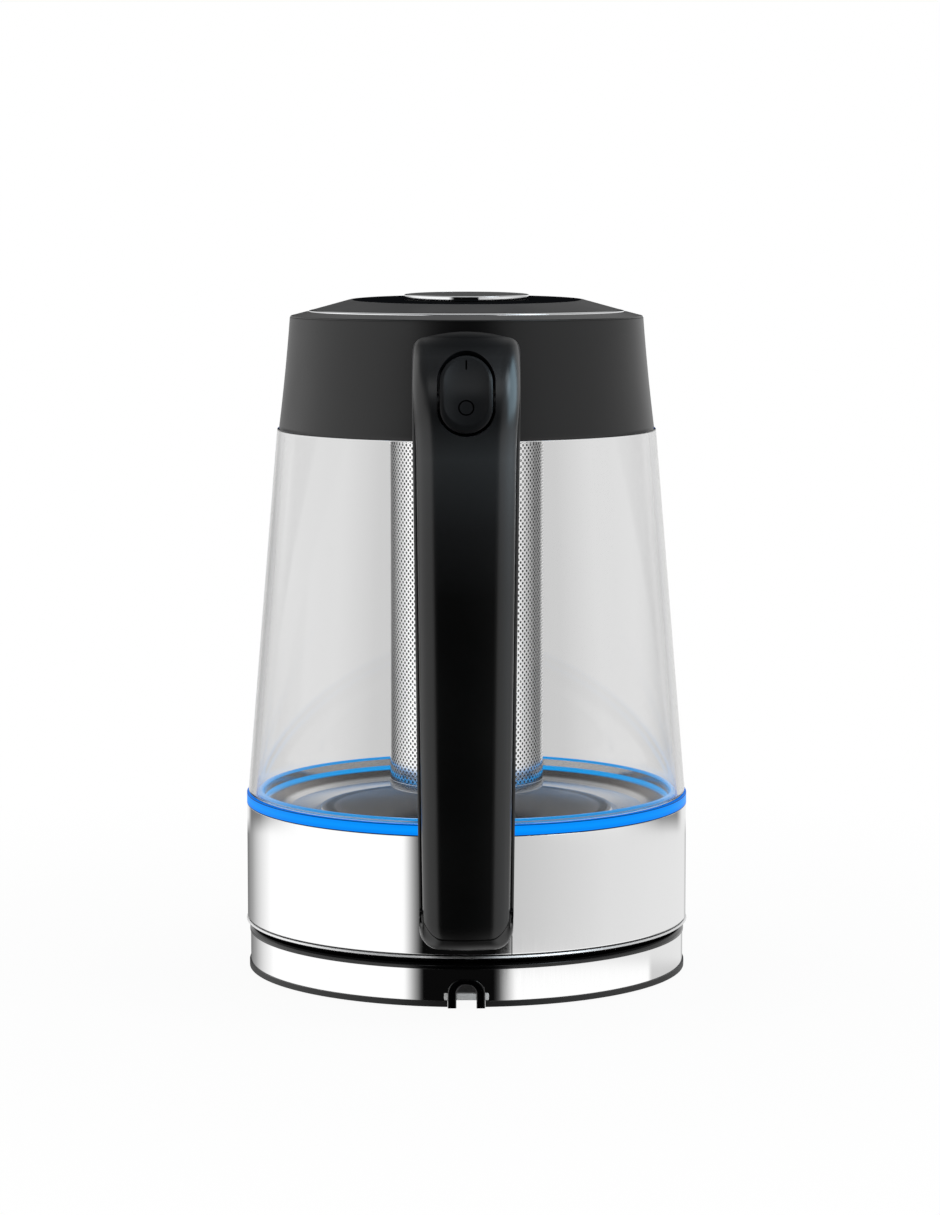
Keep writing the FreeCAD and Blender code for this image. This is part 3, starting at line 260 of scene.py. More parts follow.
def lathe(outline, turns=256):
    """A closed outline carried round the axis: x = r cos a, y = r sin a, z as drawn."""
    angle = np.linspace(0, 2 * math.pi, turns, endpoint=False)[None, :]
    radius = outline[:, :1]
    level = outline[:, 1:] + 0 * angle
    return skin(np.stack([radius * np.cos(angle), radius * np.sin(angle), level], axis=-1), True, True)


def solid(name, parts, material, body, slot, *nodes):
    """Join (points, faces) parts to one smooth closed mesh that rides a body and stands for CAD nodes."""
    merge, crease = 2e-7, math.radians(50)
    mesh = bpy.data.meshes.new(name)
    points = np.concatenate([part[0] for part in parts]) * 0.001
    starts = np.cumsum([0] + [len(part[0]) for part in parts[:-1]])
    faces = [face for part, start in zip(parts, starts) for face in (part[1] + start).tolist()]
    mesh.from_pydata(points.tolist(), [], faces)
    work = bmesh.new()
    work.from_mesh(mesh)
    bmesh.ops.remove_doubles(work, verts=work.verts, dist=merge)
    bmesh.ops.recalc_face_normals(work, faces=work.faces)
    work.to_mesh(mesh)
    work.free()
    mesh.polygons.foreach_set("use_smooth", np.ones(len(mesh.polygons), bool))
    mesh.set_sharp_from_angle(angle=crease)
    mesh.materials.append(material)
    made = bpy.data.objects.new(name, mesh)
    scene.collection.objects.link(made)
    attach(made, body)
    if nodes:
        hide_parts(*nodes)
    return made


def start_material(name):
    """Empty material with its principled shader, its output and its object coordinates in metres."""
    made = bpy.data.materials.new(name)
    made.use_nodes = True
    made.node_tree.nodes.clear()
    shader = add(made.node_tree, "BsdfPrincipled")
    add(made.node_tree, "OutputMaterial", {"Surface": shader.outputs[0]})
    place = add(made.node_tree, "TexCoord").outputs["Object"]
    return made, made.node_tree, shader, place


def gloss_along(tree, shader, pattern, low, high):
    """Roughness that follows a pattern of 0 to 1 between two values."""
    gloss = add(tree, "MapRange", {"Value": pattern, "To Min": low, "To Max": high})
    tree.links.new(gloss.outputs[0], shader.inputs["Roughness"])


def moulded(name, colour, rough, grain, relief, mirror=0.5):
    """Moulded plastic: one colour, a gloss that drifts over centimetres, and a grain of a given size and
    height in millimetres as relief. Mirror is the strength of its reflection, 0.5 for a common plastic."""
    drift_size, swing = 30.0, 0.15
    made, tree, shader, place = start_material(name)
    shader.inputs["Base Color"].default_value = linear(colour)
    shader.inputs["Specular IOR Level"].default_value = mirror
    drift = add(tree, "TexNoise", {"Vector": place, "Scale": 1000 / drift_size, "Detail": 2.0})
    gloss_along(tree, shader, drift.outputs["Fac"], (1 - swing) * rough, (1 + swing) * rough)
    texture = add(tree, "TexNoise", {"Vector": place, "Scale": 1000 / grain, "Detail": 2.0})
    bump = add(tree, "Bump", {"Height": texture.outputs["Fac"], "Strength": 1.0, "Distance": relief * 0.001})
    tree.links.new(bump.outputs[0], shader.inputs["Normal"])
    return made


def polished(name, colour, rough, line, stretch):
    """Worked metal: a colour, and a gloss that varies along fine lines drawn out by a stretch per axis. The
    width of a line is in millimetres."""
    swing = 0.4
    made, tree, shader, place = start_material(name)
    shader.inputs["Base Color"].default_value = linear(colour)
    shader.inputs["Metallic"].default_value = 1.0
    drawn = add(tree, "VectorMath", {0: place, 1: stretch}, operation="MULTIPLY")
    lines = add(tree, "TexNoise", {"Vector": drawn.outputs[0], "Scale": 1000 / line, "Detail": 3.0})
    gloss_along(tree, shader, lines.outputs["Fac"], (1 - swing) * rough, (1 + swing) * rough)
    return made


def dress(material, slot, *nodes):
    """Give CAD nodes a material."""
    for name in nodes:
        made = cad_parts[name]
        made.data.materials.clear()
        made.data.materials.append(material)


# matt black ABS with a spark-eroded grain, drawn at 0.35 mm, coarser than the real one, so that it shows
satin_black = moulded("satin_black_plastic", "#0d0d0e", 0.45, 0.35, 0.004)
# black ABS from a polished mould, with a faint ripple
gloss_black = moulded("gloss_black_plastic", "#050506", 0.14, 1.2, 0.001)
lip_top, band_top, base_top = 2.8, 14.0, 16.0
band_radius, rim_radius = 78.9, 79.2
dress(satin_black, "satin_black", "base_tray", "base_hub_cover", "base_connector_post")
base_cover = rounded([(15.1, 14.0, 0.05), (15.1, 18.2, 0.5), (19.5, 18.2, 0.8), (20.0, base_top, 0.6),
                      (74.0, base_top, 0.4), (75.0, base_top + 0.25, 0.5), (78.4, base_top, 0.6),
                      (rim_radius, band_top + 1.2, 0.5), (rim_radius, band_top, 0.15)])
solid("base_cover", [lathe(base_cover)], gloss_black, "power_base", "gloss_black", "base_top_cover")

# Trim band. A strip of polished stainless steel runs round the base between tray and cover; its lower edge
# follows the outside of the cord arch at the back.
# mirror-polished stainless strip, with lines drawn out across its width
mirror_steel = polished("mirror_steel", "#fbfbfb", 0.035, 0.5, (1.0, 1.0, 0.05))
half_notch, notch_top, notch_corner, band_wall = 6.6, 10.6, 5.0, 0.8
notch_end = math.asin(half_notch / band_radius)
over = np.linspace(-half_notch, half_notch, 61)
clear_angle = np.linspace(notch_end, 2 * math.pi - notch_end, 400)[1:-1]
band_angle = np.concatenate([np.arcsin(over / band_radius), clear_angle])
inset = np.maximum(0, np.abs(over) - (half_notch - notch_corner))
notch_edge = notch_top - notch_corner + np.sqrt(np.maximum(0, notch_corner ** 2 - inset ** 2))
notch_edge[[0, -1]] = lip_top
low_edge = np.concatenate([notch_edge, np.full(len(clear_angle), lip_top)])[None, :]
band_up = np.array([0.0, 0.06, 0.5, 0.94, 1.0, 1.0, 0.5, 0.0])[:, None]
band_in = np.array([0, 0, 0, 0, 0, band_wall, band_wall, band_wall])[:, None]
band_reach = band_radius - band_in
band = np.stack([band_reach * np.sin(band_angle), -band_reach * np.cos(band_angle),
                 low_edge + (band_top - low_edge) * band_up], axis=-1)
solid("base_band", [skin(band, True, True)], mirror_steel, "power_base", "polished_steel", "base_trim_band")

# Clip bar. A bar of white nylon runs through both legs of the cord arch and holds the band down beside them.
# moulded nylon, white and a little waxy
nylon = moulded("white_nylon", "#f4f4f2", 0.4, 0.5, 0.002)
clip_edge = rounded([(-79.3, 3.2, 0.3), (-77.6, 3.2, 0.3), (-77.6, 5.6, 0.3), (-79.3, 5.6, 0.3)])
clip_middle = clip_edge.mean(axis=0)
clip_y, clip_z = (clip_edge - clip_middle).T
clip_x = np.array([-7.8, -7.8, -7.5, 7.5, 7.8, 7.8])[:, None]
clip_size = np.array([0.0, 0.8, 1.0, 1.0, 0.8, 0.0])[:, None]
clip = np.stack([clip_x + 0 * clip_y, clip_middle[0] + clip_size * clip_y,
                 clip_middle[1] + clip_size * clip_z], axis=-1)
solid("cord_clip", [skin(clip, False, True)], nylon, "power_base", "inner_plastic")


# Cord arch. The outlet of the cord is an inverted U of gloss black plastic with rounded rims, moulded as one
# insert that is pressed into the back of the tray.
def arch_line(half, corner, leg):
    """Inverted U as x and z: a leg up, a quarter circle, the middle of the top, and the same mirrored."""
    foot, gap = 0.4, 0.1
    spring = foot + leg + gap
    up = np.linspace(0, 1, 8)
    turn = np.linspace(0, math.pi / 2, 25)
    x = [0 * up - half, corner - half - corner * np.cos(turn), [0.0], half - corner + corner * np.sin(turn),
         0 * up + half]
    z = [foot + leg * up, spring + corner * np.sin(turn), [spring + corner], spring + corner * np.cos(turn),
         foot + leg - leg * up]
    return np.concatenate(x)[:, None], np.concatenate(z)[:, None]


outer_x, outer_z = arch_line(6.5, 5.0, 5.0)
inner_x, inner_z = arch_line(3.5, 3.5, 4.8)
arch_rim = rounded([(0.0, 75.8, 0.1), (1.0, 75.8, 0.1), (1.0, 79.6, 0.22), (0.0, 79.6, 0.22)])
across = arch_rim[:, 0][None, :]
arch = np.stack([inner_x * (1 - across) + outer_x * across, -arch_rim[:, 1][None, :] + 0 * outer_x,
                 inner_z * (1 - across) + outer_z * across], axis=-1)
solid("cord_arch", [skin(arch, False, True)], gloss_black, "power_base", "gloss_black", "cord_gland")

# Foot ring. A gloss black moulding under the jug that stands on the base, is undercut all round and carries
# the skirt.
ring_low, ring_top, skirt_top, light_top = 16.3, 19.3, 60.8, 64.8
foot_ring = rounded([(22.3, ring_top, 0.2), (75.0, ring_top, 0.2), (75.0, ring_low, 0.3),
                     (77.6, ring_low, 0.4), (80.3, 18.1, 0.2), (79.6, 18.3, 0.1), (79.6, ring_top, 0.1),
                     (79.3, 21.3, 0.2), (22.3, 21.3, 0.2)])
solid("foot_ring", [lathe(foot_ring)], gloss_black, "kettle", "gloss_black", "bottom_cover")

# Skirt. A strip of mirror steel rolled to a drum, open by a hair at its seam, 11 degrees to the right of the
# handle. Its hem is turned out over the foot ring and shows as a bright line under a dark groove.
skirt_edge = rounded([(79.4, ring_top, 0.1), (80.0, ring_top, 0.2), (80.0, skirt_top, 0.2),
                      (79.4, skirt_top, 0.1)])
seam, seam_half = math.radians(-90 + 11.4), 0.002
around = np.linspace(seam + seam_half, seam + 2 * math.pi - seam_half, 361)[None, :]
skirt = np.stack([skirt_edge[:, :1] * np.cos(around), skirt_edge[:, :1] * np.sin(around),
                  skirt_edge[:, 1:] + 0 * around], axis=-1)
solid("skirt", [skin(skirt, True, False)], mirror_steel, "kettle", "polished_steel", "skirt_band")
hem = rounded([(79.65, 18.25, 0.05), (80.45, 18.12, 0.05), (80.05, 18.75, 0.1), (79.65, 18.8, 0.05)])
# the same steel, left satin by the rolling of the hem
satin_steel = polished("satin_steel", "#ffffff", 0.4, 0.5, (1.0, 1.0, 0.05))
solid("skirt_hem", [lathe(hem, 360)], satin_steel, "kettle", "polished_steel", "skirt_band")


# Light ring. A ring of blue acrylic on top of the skirt, lit evenly by lamps underneath, so it shines by
# itself, with a dark joint below and above.
def way_up(tree, place, low, high):
    """Share of the way up between two levels in millimetres."""
    level = add(tree, "SeparateXYZ", {"Vector": place}).outputs["Z"]
    between = {"Value": level, "From Min": low * 0.001, "From Max": high * 0.001}
    return add(tree, "MapRange", between).outputs[0]


# acrylic that glows through its whole depth and mirrors almost nothing
lit_acrylic, tree, shader, place = start_material("lit_acrylic")
shader.inputs["Base Color"].default_value = linear("#001428")
shader.inputs["Roughness"].default_value = 0.35
shader.inputs["Specular IOR Level"].default_value = 0.05
joint_blue = linear("#000a28")
ring_glow = [(0.05, linear("#000a1e")), (0.09, linear("#0082f5")), (0.5, linear("#0096ff")),
             (0.91, linear("#008cfa")), (0.935, joint_blue), (0.96, joint_blue), (0.985, linear("#0070dc"))]
shine = ramp(tree, way_up(tree, place, skirt_top, light_top), ring_glow)
tree.links.new(shine, shader.inputs["Emission Color"])
shader.inputs["Emission Strength"].default_value = 1.0
light_ring = rounded([(76.2, skirt_top, 0.2), (80.05, skirt_top, 0.1), (80.05, light_top, 0.3),
                      (76.2, light_top, 0.3)])
solid("glow_ring", [lathe(light_ring, 360)], lit_acrylic, "kettle", "light_guide", "light_ring")


# Heater pan. Stainless steel sheet pressed to a raised centre, a trough round it and a flange, clamped
# between skirt and glass. Its colour is laid in rings of painted reflection: a painted highlight in the
# trough, a painted shade at the step, and darker slopes on either side.
def from_axis(tree, place):
    """Distance from the axis in metres: the root of x squared plus y squared."""
    flat = add(tree, "SeparateXYZ", {"Vector": place})
    squared = add(tree, "Math", {0: flat.outputs["X"], 1: flat.outputs["X"]}, operation="MULTIPLY")
    squared = add(tree, "Math", {0: flat.outputs["Y"], 1: flat.outputs["Y"], 2: squared.outputs[0]},
                  operation="MULTIPLY_ADD")
    return add(tree, "Math", {0: squared.outputs[0]}, operation="SQRT").outputs[0]


# stainless steel coloured in rings of painted reflection: dull centre with a lighter rim, a painted shade at
# the step, a painted highlight in the trough, dull slope and flange
spun_steel_painted_rings, tree, shader, place = start_material("spun_stainless_painted_rings")
shader.inputs["Metallic"].default_value = 1.0
pan_reach, turning_mark = 0.08, 0.0008
outward = add(tree, "MapRange", {"Value": from_axis(tree, place), "From Max": pan_reach})
# painted shade at the step and painted highlight in the trough, set by the distance from the axis
painted_step_shade, painted_trough_highlight, slope_grey = linear("#484645"), linear("#f6f5f4"), linear("#787370")
painted_pan_bands = [(0.44, linear("#7e7c7b")), (0.56, linear("#9a9896")), (0.60, linear("#b8b6b4")),
             (0.614, painted_step_shade), (0.636, painted_step_shade), (0.65, linear("#d8d7d6")), (0.705, painted_trough_highlight),
             (0.825, painted_trough_highlight), (0.845, slope_grey), (0.885, slope_grey), (0.910, linear("#e4e3e2"))]
tree.links.new(ramp(tree, outward.outputs[0], painted_pan_bands), shader.inputs["Base Color"])
turning = add(tree, "TexNoise", {"W": from_axis(tree, place), "Scale": 1 / turning_mark, "Detail": 2.0},
              noise_dimensions="1D")
gloss_along(tree, shader, turning.outputs["Fac"], 0.12, 0.20)
pan_top = [(0.0, 59.0, 0.01), (53.0, 59.0, 1.2), (55.2, 57.2, 1.0), (64.4, 58.9, 0.8), (70.6, 61.8, 1.2),
           (75.8, 61.8, 0.2)]
pan_under = [(75.8, 60.9, 0.2), (70.8, 60.9, 0.6), (64.6, 58.0, 0.6), (55.4, 56.3, 0.6), (53.2, 58.0, 0.6),
             (0.0, 58.0, 0.01)]
solid("pan", [lathe(rounded(pan_top + pan_under), 300)], spun_steel_painted_rings, "kettle", "stainless", "heater_pan")

# Pan seal. A clear silicone ring between the glass and the flange of the pan, pressed in place by the glass.
# Its two edges glow blue with painted light, as the light ring would show in them.
seal_low, seal_top = 61.9, 66.2
# clear silicone that shows the bright flange under it, so it is shaded as a dim mirror with a slight haze
clear_silicone, tree, shader, place = start_material("clear_silicone")
shader.inputs["Metallic"].default_value = 1.0
haze_size = 0.006
haze = add(tree, "TexNoise", {"Vector": place, "Scale": 1 / haze_size, "Detail": 2.0})
gloss_along(tree, shader, haze.outputs["Fac"], 0.05, 0.12)
upward = way_up(tree, place, seal_low, seal_top)
# painted light: the two edges shine blue by themselves, though the seal is no lamp
shine = ramp(tree, upward, [(0.24, linear("#0092dc")), (0.30, 0.0), (0.80, 0.0), (0.86, linear("#008cd8"))])
tree.links.new(shine, shader.inputs["Emission Color"])
dim = ramp(tree, upward, [(0.24, 0.01), (0.30, 0.34), (0.80, 0.34), (0.86, 0.01)])
tree.links.new(dim, shader.inputs["Base Color"])
shader.inputs["Emission Strength"].default_value = 1.0
seal = rounded([(73.6, seal_low, 0.3), (76.0, seal_low, 0.3), (76.0, seal_top, 0.3), (74.2, seal_top, 0.4)])
solid("seal", [lathe(seal)], clear_silicone, "kettle", "silicone", "pan_seal")

# Glass. One blown and pressed jug of clear borosilicate glass, tapered, drawn in to a shoulder under the
# collar and a straight neck inside it; it stands in the seal and is held down by the collar.
glass_low = light_top + 0.05
# clear glass, smooth but for faint smears over centimetres; its reflection is held low, as in soft light
clear_glass, tree, shader, place = start_material("clear_glass")
shader.inputs["Base Color"].default_value = linear("#ffffff")
shader.inputs["Transmission Weight"].default_value = 1.0
shader.inputs["IOR"].default_value = 1.47
shader.inputs["Specular Tint"].default_value = (0.3, 0.3, 0.3, 1.0)
smear_size = 0.05
smear = add(tree, "TexNoise", {"Vector": place, "Scale": 1 / smear_size, "Detail": 2.0})
gloss_along(tree, shader, smear.outputs["Fac"], 0.0, 0.012)
jug = rounded([(79.5, glass_low, 0.8), (68.37, 196.85, 0.4), (66.45, 197.1, 0.4), (65.0, 202.6, 2.0),
               (61.0, 204.0, 2.0), (61.0, 213.2, 0.8), (58.0, 213.2, 0.8), (58.0, 202.3, 2.0),
               (62.6, 200.9, 1.5), (65.44, 198.6, 0.8), (76.7, glass_low, 0.8)])
solid("jug", [lathe(jug, 360)], clear_glass, "kettle", "clear_glass", "glass_jug")


# Infuser. A tube rolled from perforated stainless sheet, with round holes in staggered rows, and a plain rim
# at either end; it hangs from a black bayonet ring under the lid.
def perforated(radius, wall, columns, pitch_up, first, rows, hole):
    """Staggered round holes in a tube: each hole is an octagon inside a diamond, and the diamonds tile the
    sheet. The outer and inner sheets are joined by the wall of each hole."""
    pitch = 2 * math.pi / columns
    row, column = np.meshgrid(np.arange(rows), np.arange(columns), indexing="ij")
    centre_a = ((column + 0.5 * (row % 2)) * pitch).reshape(-1, 1)
    centre_z = (first + row * pitch_up / 2).reshape(-1, 1)
    eighth = np.arange(8) * math.pi / 4
    local_a = np.concatenate([np.array([0.5, 0, -0.5, 0]) * pitch, hole / radius * np.cos(eighth)])[None, :]
    local_z = np.concatenate([np.array([0, 0.5, 0, -0.5]) * pitch_up, hole * np.sin(eighth)])[None, :]
    angle = (centre_a + local_a)[:, None, :]
    level = (centre_z + local_z)[:, None, :]
    reach = np.array([radius, radius - wall])[None, :, None]
    points = np.stack([reach * np.cos(angle), reach * np.sin(angle), level + 0 * reach], axis=-1)
    corner = np.arange(4)
    after = (corner + 1) % 4
    start, middle, end = 4 + 2 * corner, 5 + 2 * corner, 4 + (2 * corner + 2) % 8
    sheet = np.concatenate([np.stack([corner, middle, start], -1), np.stack([corner, after, middle], -1),
                            np.stack([after, end, middle], -1)])
    edge = np.arange(8)
    ahead = (edge + 1) % 8
    wall_low = np.stack([4 + edge, 4 + ahead, 16 + ahead], -1)
    wall_high = np.stack([4 + edge, 16 + ahead, 16 + edge], -1)
    cell = np.concatenate([sheet, sheet[:, ::-1] + 12, wall_low, wall_high])
    faces = cell[None] + 24 * np.arange(rows * columns)[:, None, None]
    return points.reshape(-1, 3), faces.reshape(-1, 3)


# bright stainless sheet with fine upright lines; inside the holes and the tube its colour is darkened by a
# painted shade
sheet_steel = polished("perforated_stainless", "#fafafa", 0.12, 0.4, (1.0, 1.0, 0.06))
tree = sheet_steel.node_tree
sheet_place = add(tree, "TexCoord").outputs["Object"]
outward = add(tree, "MapRange", {"Value": from_axis(tree, sheet_place), "From Min": 0.0272,
                                 "From Max": 0.0277})
# painted shade: faces nearer the axis than the outer sheet, inside the tube and the holes, are coloured dark
# grey
painted_tube_shade = ramp(tree, outward.outputs[0], [(0.0, linear("#3a3a3a")), (1.0, linear("#fafafa"))])
tree.links.new(painted_tube_shade, tree.nodes["Principled BSDF"].inputs["Base Color"])
tube_radius, tube_wall, hole_columns, hole_pitch, hole_radius, lowest_hole = 27.8, 0.6, 82, 2.15, 0.49, 69.4
low_rim = rounded([(27.15, 66.4, 0.15), (27.85, 66.4, 0.25), (27.85, 69.4, 0.1), (27.15, 69.4, 0.1)])
high_rim = rounded([(27.15, 201.2, 0.1), (27.85, 201.2, 0.1), (27.85, 215.7, 0.2), (27.15, 215.7, 0.2)])
# three lengths of the tube, each with its first row of holes, its count of rows and its rim
lengths = [("infuser_low", 0, 42, [low_rim]), ("infuser_middle", 42, 42, []),
           ("infuser_high", 84, 40, [high_rim])]
for name, begin, count, rims in lengths:
    lowest = lowest_hole + begin * hole_pitch / 2
    holes = perforated(tube_radius, tube_wall, hole_columns, hole_pitch, lowest, count, hole_radius)
    solid(name, [holes] + [lathe(rim) for rim in rims], sheet_steel, "infuser", "stainless", "infuser_tube")
dress(sheet_steel, "stainless", "infuser_floor")
dress(satin_black, "satin_black", "infuser_ring")

# Collar. One moulding of satin black plastic: a tapered wall with a thin lip over the glass, a bevelled rim,
# a ledge inside for the lid seat, and at the front a beak with the mouth of the spout in its tip.
collar_low, collar_high, rim_top, mouth = 197.2, 237.35, 238.95, 57.4
rim_tilt = 0.0183


def collar_wall(level):
    """Radius of the outer wall: a straight taper that is drawn in by 0.25 mm at half height."""
    part = (level - collar_low) / (collar_high - collar_low)
    return 67.7 - 4.1 * part - 1.0 * part * (1 - part)


def smooth_step(value, low, high):
    """0 below low, 1 above high, and 3t^2 - 2t^3 between them."""
    part = np.clip((value - low) / (high - low), 0, 1)
    return part * part * (3 - 2 * part)


tip_low, tip_high, tip_half, tip_reach, well_deep = 225.2, 234.8, 6.8, 84.0, 22.0
levels = np.concatenate([[collar_low + 0.35], np.linspace(collar_low + 1.0, 222.0, 40),
                         np.linspace(222.5, tip_low, 8), tip_low + np.array([0.15, 0.3, 0.5]),
                         np.linspace(tip_low + 1.2, tip_high - 1.2, 12),
                         tip_high - np.array([0.5, 0.3, 0.15, 0.0]),
                         np.linspace(tip_high + 0.3, collar_high - 0.6, 6)])
outside = np.stack([collar_wall(levels), levels], axis=-1)
# the first corner only leads in to the rim, so its nine points are left out
over_rim = rounded([(0.0, 0.0, 0.1), (collar_wall(collar_high), collar_high, 0.5), (mouth, rim_top, 0.5),
                    (mouth, 230.0, 0.4), (54.0, 230.0, 0.2), (54.0, 227.0, 0.2), (61.9, 227.0, 0.3),
                    (65.0, 203.0, 1.0), (66.9, collar_low, 0.15), (67.7, collar_low, 0.3)])[9:]
outline = np.concatenate([outside, over_rim])
reach, level = outline[:, :1], outline[:, 1:]
on_wall = (np.arange(len(outline)) < len(outside))[:, None]
# how far each point of the outline takes part in the beak, from the wall over the rim to the mouth's edge
takes_part = np.where(on_wall, smooth_step(level, 206.5, 224.0),
                      smooth_step(reach, mouth + 0.3, 63.0) * (level > 236.0))
beak_half = 24.0
tip_edge = np.array([6.2, 6.5, 6.65, 6.8, 6.95, 7.1])
spout_x = np.concatenate([np.linspace(-beak_half, -7.4, 26), -tip_edge[::-1], np.linspace(-5.6, 5.6, 17),
                          tip_edge, np.linspace(7.4, beak_half, 26)])
front = spout_x[None, :] + 0 * reach
push = 20.4 * takes_part * (1 - smooth_step(np.abs(front), 8.2, 23.0))
well = smooth_step(-np.abs(front), -tip_half - 0.25, -tip_half + 0.3)
well = well * smooth_step(level, tip_low - 0.05, tip_low + 0.5)
well = well * smooth_step(-level, -tip_high - 0.05, -tip_high + 0.5)
beak_y = np.minimum(np.sqrt(reach ** 2 - front ** 2) + push, tip_reach) - well_deep * well * on_wall
beak = np.stack([front, beak_y, level + 0 * front], axis=-1)
beak_end = np.arcsin(beak_half / reach)
angle = beak_end + np.linspace(0, 1, 260)[None, 1:-1] * (2 * math.pi - 2 * beak_end)
round_wall = np.stack([reach * np.sin(angle), reach * np.cos(angle), level + 0 * angle], axis=-1)
shell = np.concatenate([beak, round_wall], axis=1)
# the mouth is a little higher at the handle than at the spout
shell[:, :, 2] -= rim_tilt * shell[:, :, 1] * smooth_step(shell[:, :, 2], 232.0, 237.0)
# black ABS from a finer mould than the base, so that it mirrors the dark room softly behind the handle
collar_black = moulded("collar_black_plastic", "#080809", 0.34, 0.35, 0.004)
solid("collar_shell", [skin(shell, True, True)], collar_black, "kettle", "satin_black", "collar")

# Lid. A black cap with a flat centre and a shallow cone, a dull film let into the flat, a thin chrome ring
# pressed round its edge, and a low round push button with a chrome band. The plug below carries the seal, the
# latch and the infuser.
lid = rounded([(22.75, 234.3, 0.2), (22.75, 243.1, 0.5), (42.2, 243.1, 0.8), (55.35, 239.55, 0.5),
               (55.35, 234.4, 0.2)])
lid_points, lid_faces = lathe(lid)
lid_reach = np.hypot(lid_points[:, 0], lid_points[:, 1])
lid_points[:, 2] -= rim_tilt * lid_points[:, 1] * smooth_step(lid_reach, 41.5, 55.3)
solid("lid_top", [(lid_points, lid_faces)], satin_black, "lid", "satin_black", "lid_cap")
# dull black film, printed flat, with no mirror at all
plate_black = moulded("dull_black_film", "#161719", 0.9, 0.3, 0.01, mirror=0.0)
lid_plate = rounded([(22.8, 242.6, 0.1), (22.8, 243.2, 0.2), (41.2, 243.2, 0.2), (41.2, 242.6, 0.1)])
solid("lid_plate", [lathe(lid_plate)], plate_black, "lid", "gloss_black", "lid_cap")
# chrome plate on plastic, mirror bright, with a gloss that drifts by the millimetre
chrome = polished("chrome_plate", "#f4f5f6", 0.05, 2.0, (1.0, 1.0, 1.0))
trim_ring = rounded([(55.45, 237.9, 0.1), (56.8, 237.9, 0.2), (56.8, 239.2, 0.35), (55.45, 239.55, 0.2)])
trim_points, trim_faces = lathe(trim_ring, 320)
trim_points[:, 2] -= rim_tilt * trim_points[:, 1]
solid("lid_line", [(trim_points, trim_faces)], chrome, "lid", "chrome_trim", "lid_trim_ring")
press = rounded([(0.0, 245.1, 0.01), (21.4, 245.1, 0.6), (21.4, 240.6, 0.2), (0.0, 240.6, 0.01)])
stem = rounded([(0.0, 240.7, 0.01), (5.0, 240.7, 0.1), (5.0, 224.0, 0.4), (0.0, 224.0, 0.01)])
solid("button_top", [lathe(press), lathe(stem, 48)], satin_black, "button", "satin_black", "lid_button")
press_band = rounded([(21.5, 243.4, 0.1), (22.4, 243.4, 0.1), (22.4, 244.95, 0.2), (21.5, 245.15, 0.1)])
solid("button_band", [lathe(press_band)], chrome, "button", "chrome_trim", "lid_button_trim")
# dark grey plastic of the moulded inner pieces, which show only with the lid off
inner_grey = moulded("inner_plastic", "#2b2c2e", 0.45, 0.5, 0.004)
dress(inner_grey, "inner_plastic", "lid_plug", "lid_seat", "latch_bolt_left", "latch_bolt_right")

# Handle. Two mouldings of black plastic, screwed together: an inner shell with arms to the collar and the
# skirt, and an outer cover, a little narrower, that runs from the collar over the bend down to a rounded end
# above the foot.
# deep black ABS with a smoother satin than the base; its colour carries a painted sheen, greyer up the grip
# and darker again from the bend, and the arm's top is dull
handle_black = moulded("handle_black_plastic", "#020202", 0.3, 0.35, 0.002)
tree = handle_black.node_tree
shader = tree.nodes["Principled BSDF"]
handle_place = add(tree, "TexCoord").outputs["Object"]
# painted sheen: the base colour lightens up the grip, as if light fell there, and darkens again at the bend
painted_grip_sheen = [(0.14, linear("#020202")), (0.45, linear("#161617")), (0.80, linear("#2e2f30")),
               (1.0, linear("#0c0c0d"))]
tree.links.new(ramp(tree, way_up(tree, handle_place, 140.0, 210.0), painted_grip_sheen),
               shader.inputs["Base Color"])
arm_mirror = [(0.0, 0.5), (0.45, 0.10), (0.80, 0.006)]
tree.links.new(ramp(tree, way_up(tree, handle_place, 229.0, 236.6), arm_mirror),
               shader.inputs["Specular IOR Level"])
slant, bend, heel = math.radians(4.0), 30.0, 11.0
bend_at, heel_at = np.array([104.0, 206.6]), np.array([111.29, 38.5])
arm_start, arm_end, foot_end, arm_fall = 60.0, 104.0, 79.2, 0.055
grip_side = np.array([math.cos(slant), -math.sin(slant)])
grip_top = bend_at + bend * grip_side
grip_low = heel_at + heel * grip_side
# lengths along the outer edge at which arm, bend, grip, heel and underside end
bend_run = bend * (math.pi / 2 + slant)
run_1 = arm_end - arm_start
run_2 = run_1 + bend_run
run_3 = run_2 + float(np.linalg.norm(grip_low - grip_top))
run_4 = run_3 + heel * (math.pi / 2 - slant)
run_5 = run_4 + heel_at[0] - foot_end


def side_path(run):
    """Outer edge of the handle in the side view: arm, bend, leaning grip, heel and underside, as the distance
    from the axis, the level and the outward normal at a length along it."""
    turn = math.pi / 2 - np.clip(run - run_1, 0, bend_run) / bend
    turn = turn - np.clip(run - run_3, 0, run_4 - run_3) / heel
    along = np.clip((run - run_2) / (run_3 - run_2), 0, 1)
    cases = [run < run_1, run < run_2, run < run_3, run < run_4]
    reach = [arm_start + run, bend_at[0] + bend * np.cos(turn),
             grip_top[0] + along * (grip_low[0] - grip_top[0]), heel_at[0] + heel * np.cos(turn)]
    level = [bend_at[1] + bend - arm_fall * (run_1 - run), bend_at[1] + bend * np.sin(turn),
             grip_top[1] + along * (grip_low[1] - grip_top[1]), heel_at[1] + heel * np.sin(turn)]
    return (np.select(cases, reach, heel_at[0] - (run - run_4)), np.select(cases, level, heel_at[1] - heel),
            np.cos(turn), np.sin(turn))


def handle_skin(run, x, depth):
    """Point of the handle at a length along its outer edge, a distance to the side and a depth under it."""
    reach, level, out, up = side_path(run)
    return np.stack([x, -(reach - depth * out), level - depth * up], axis=-1)


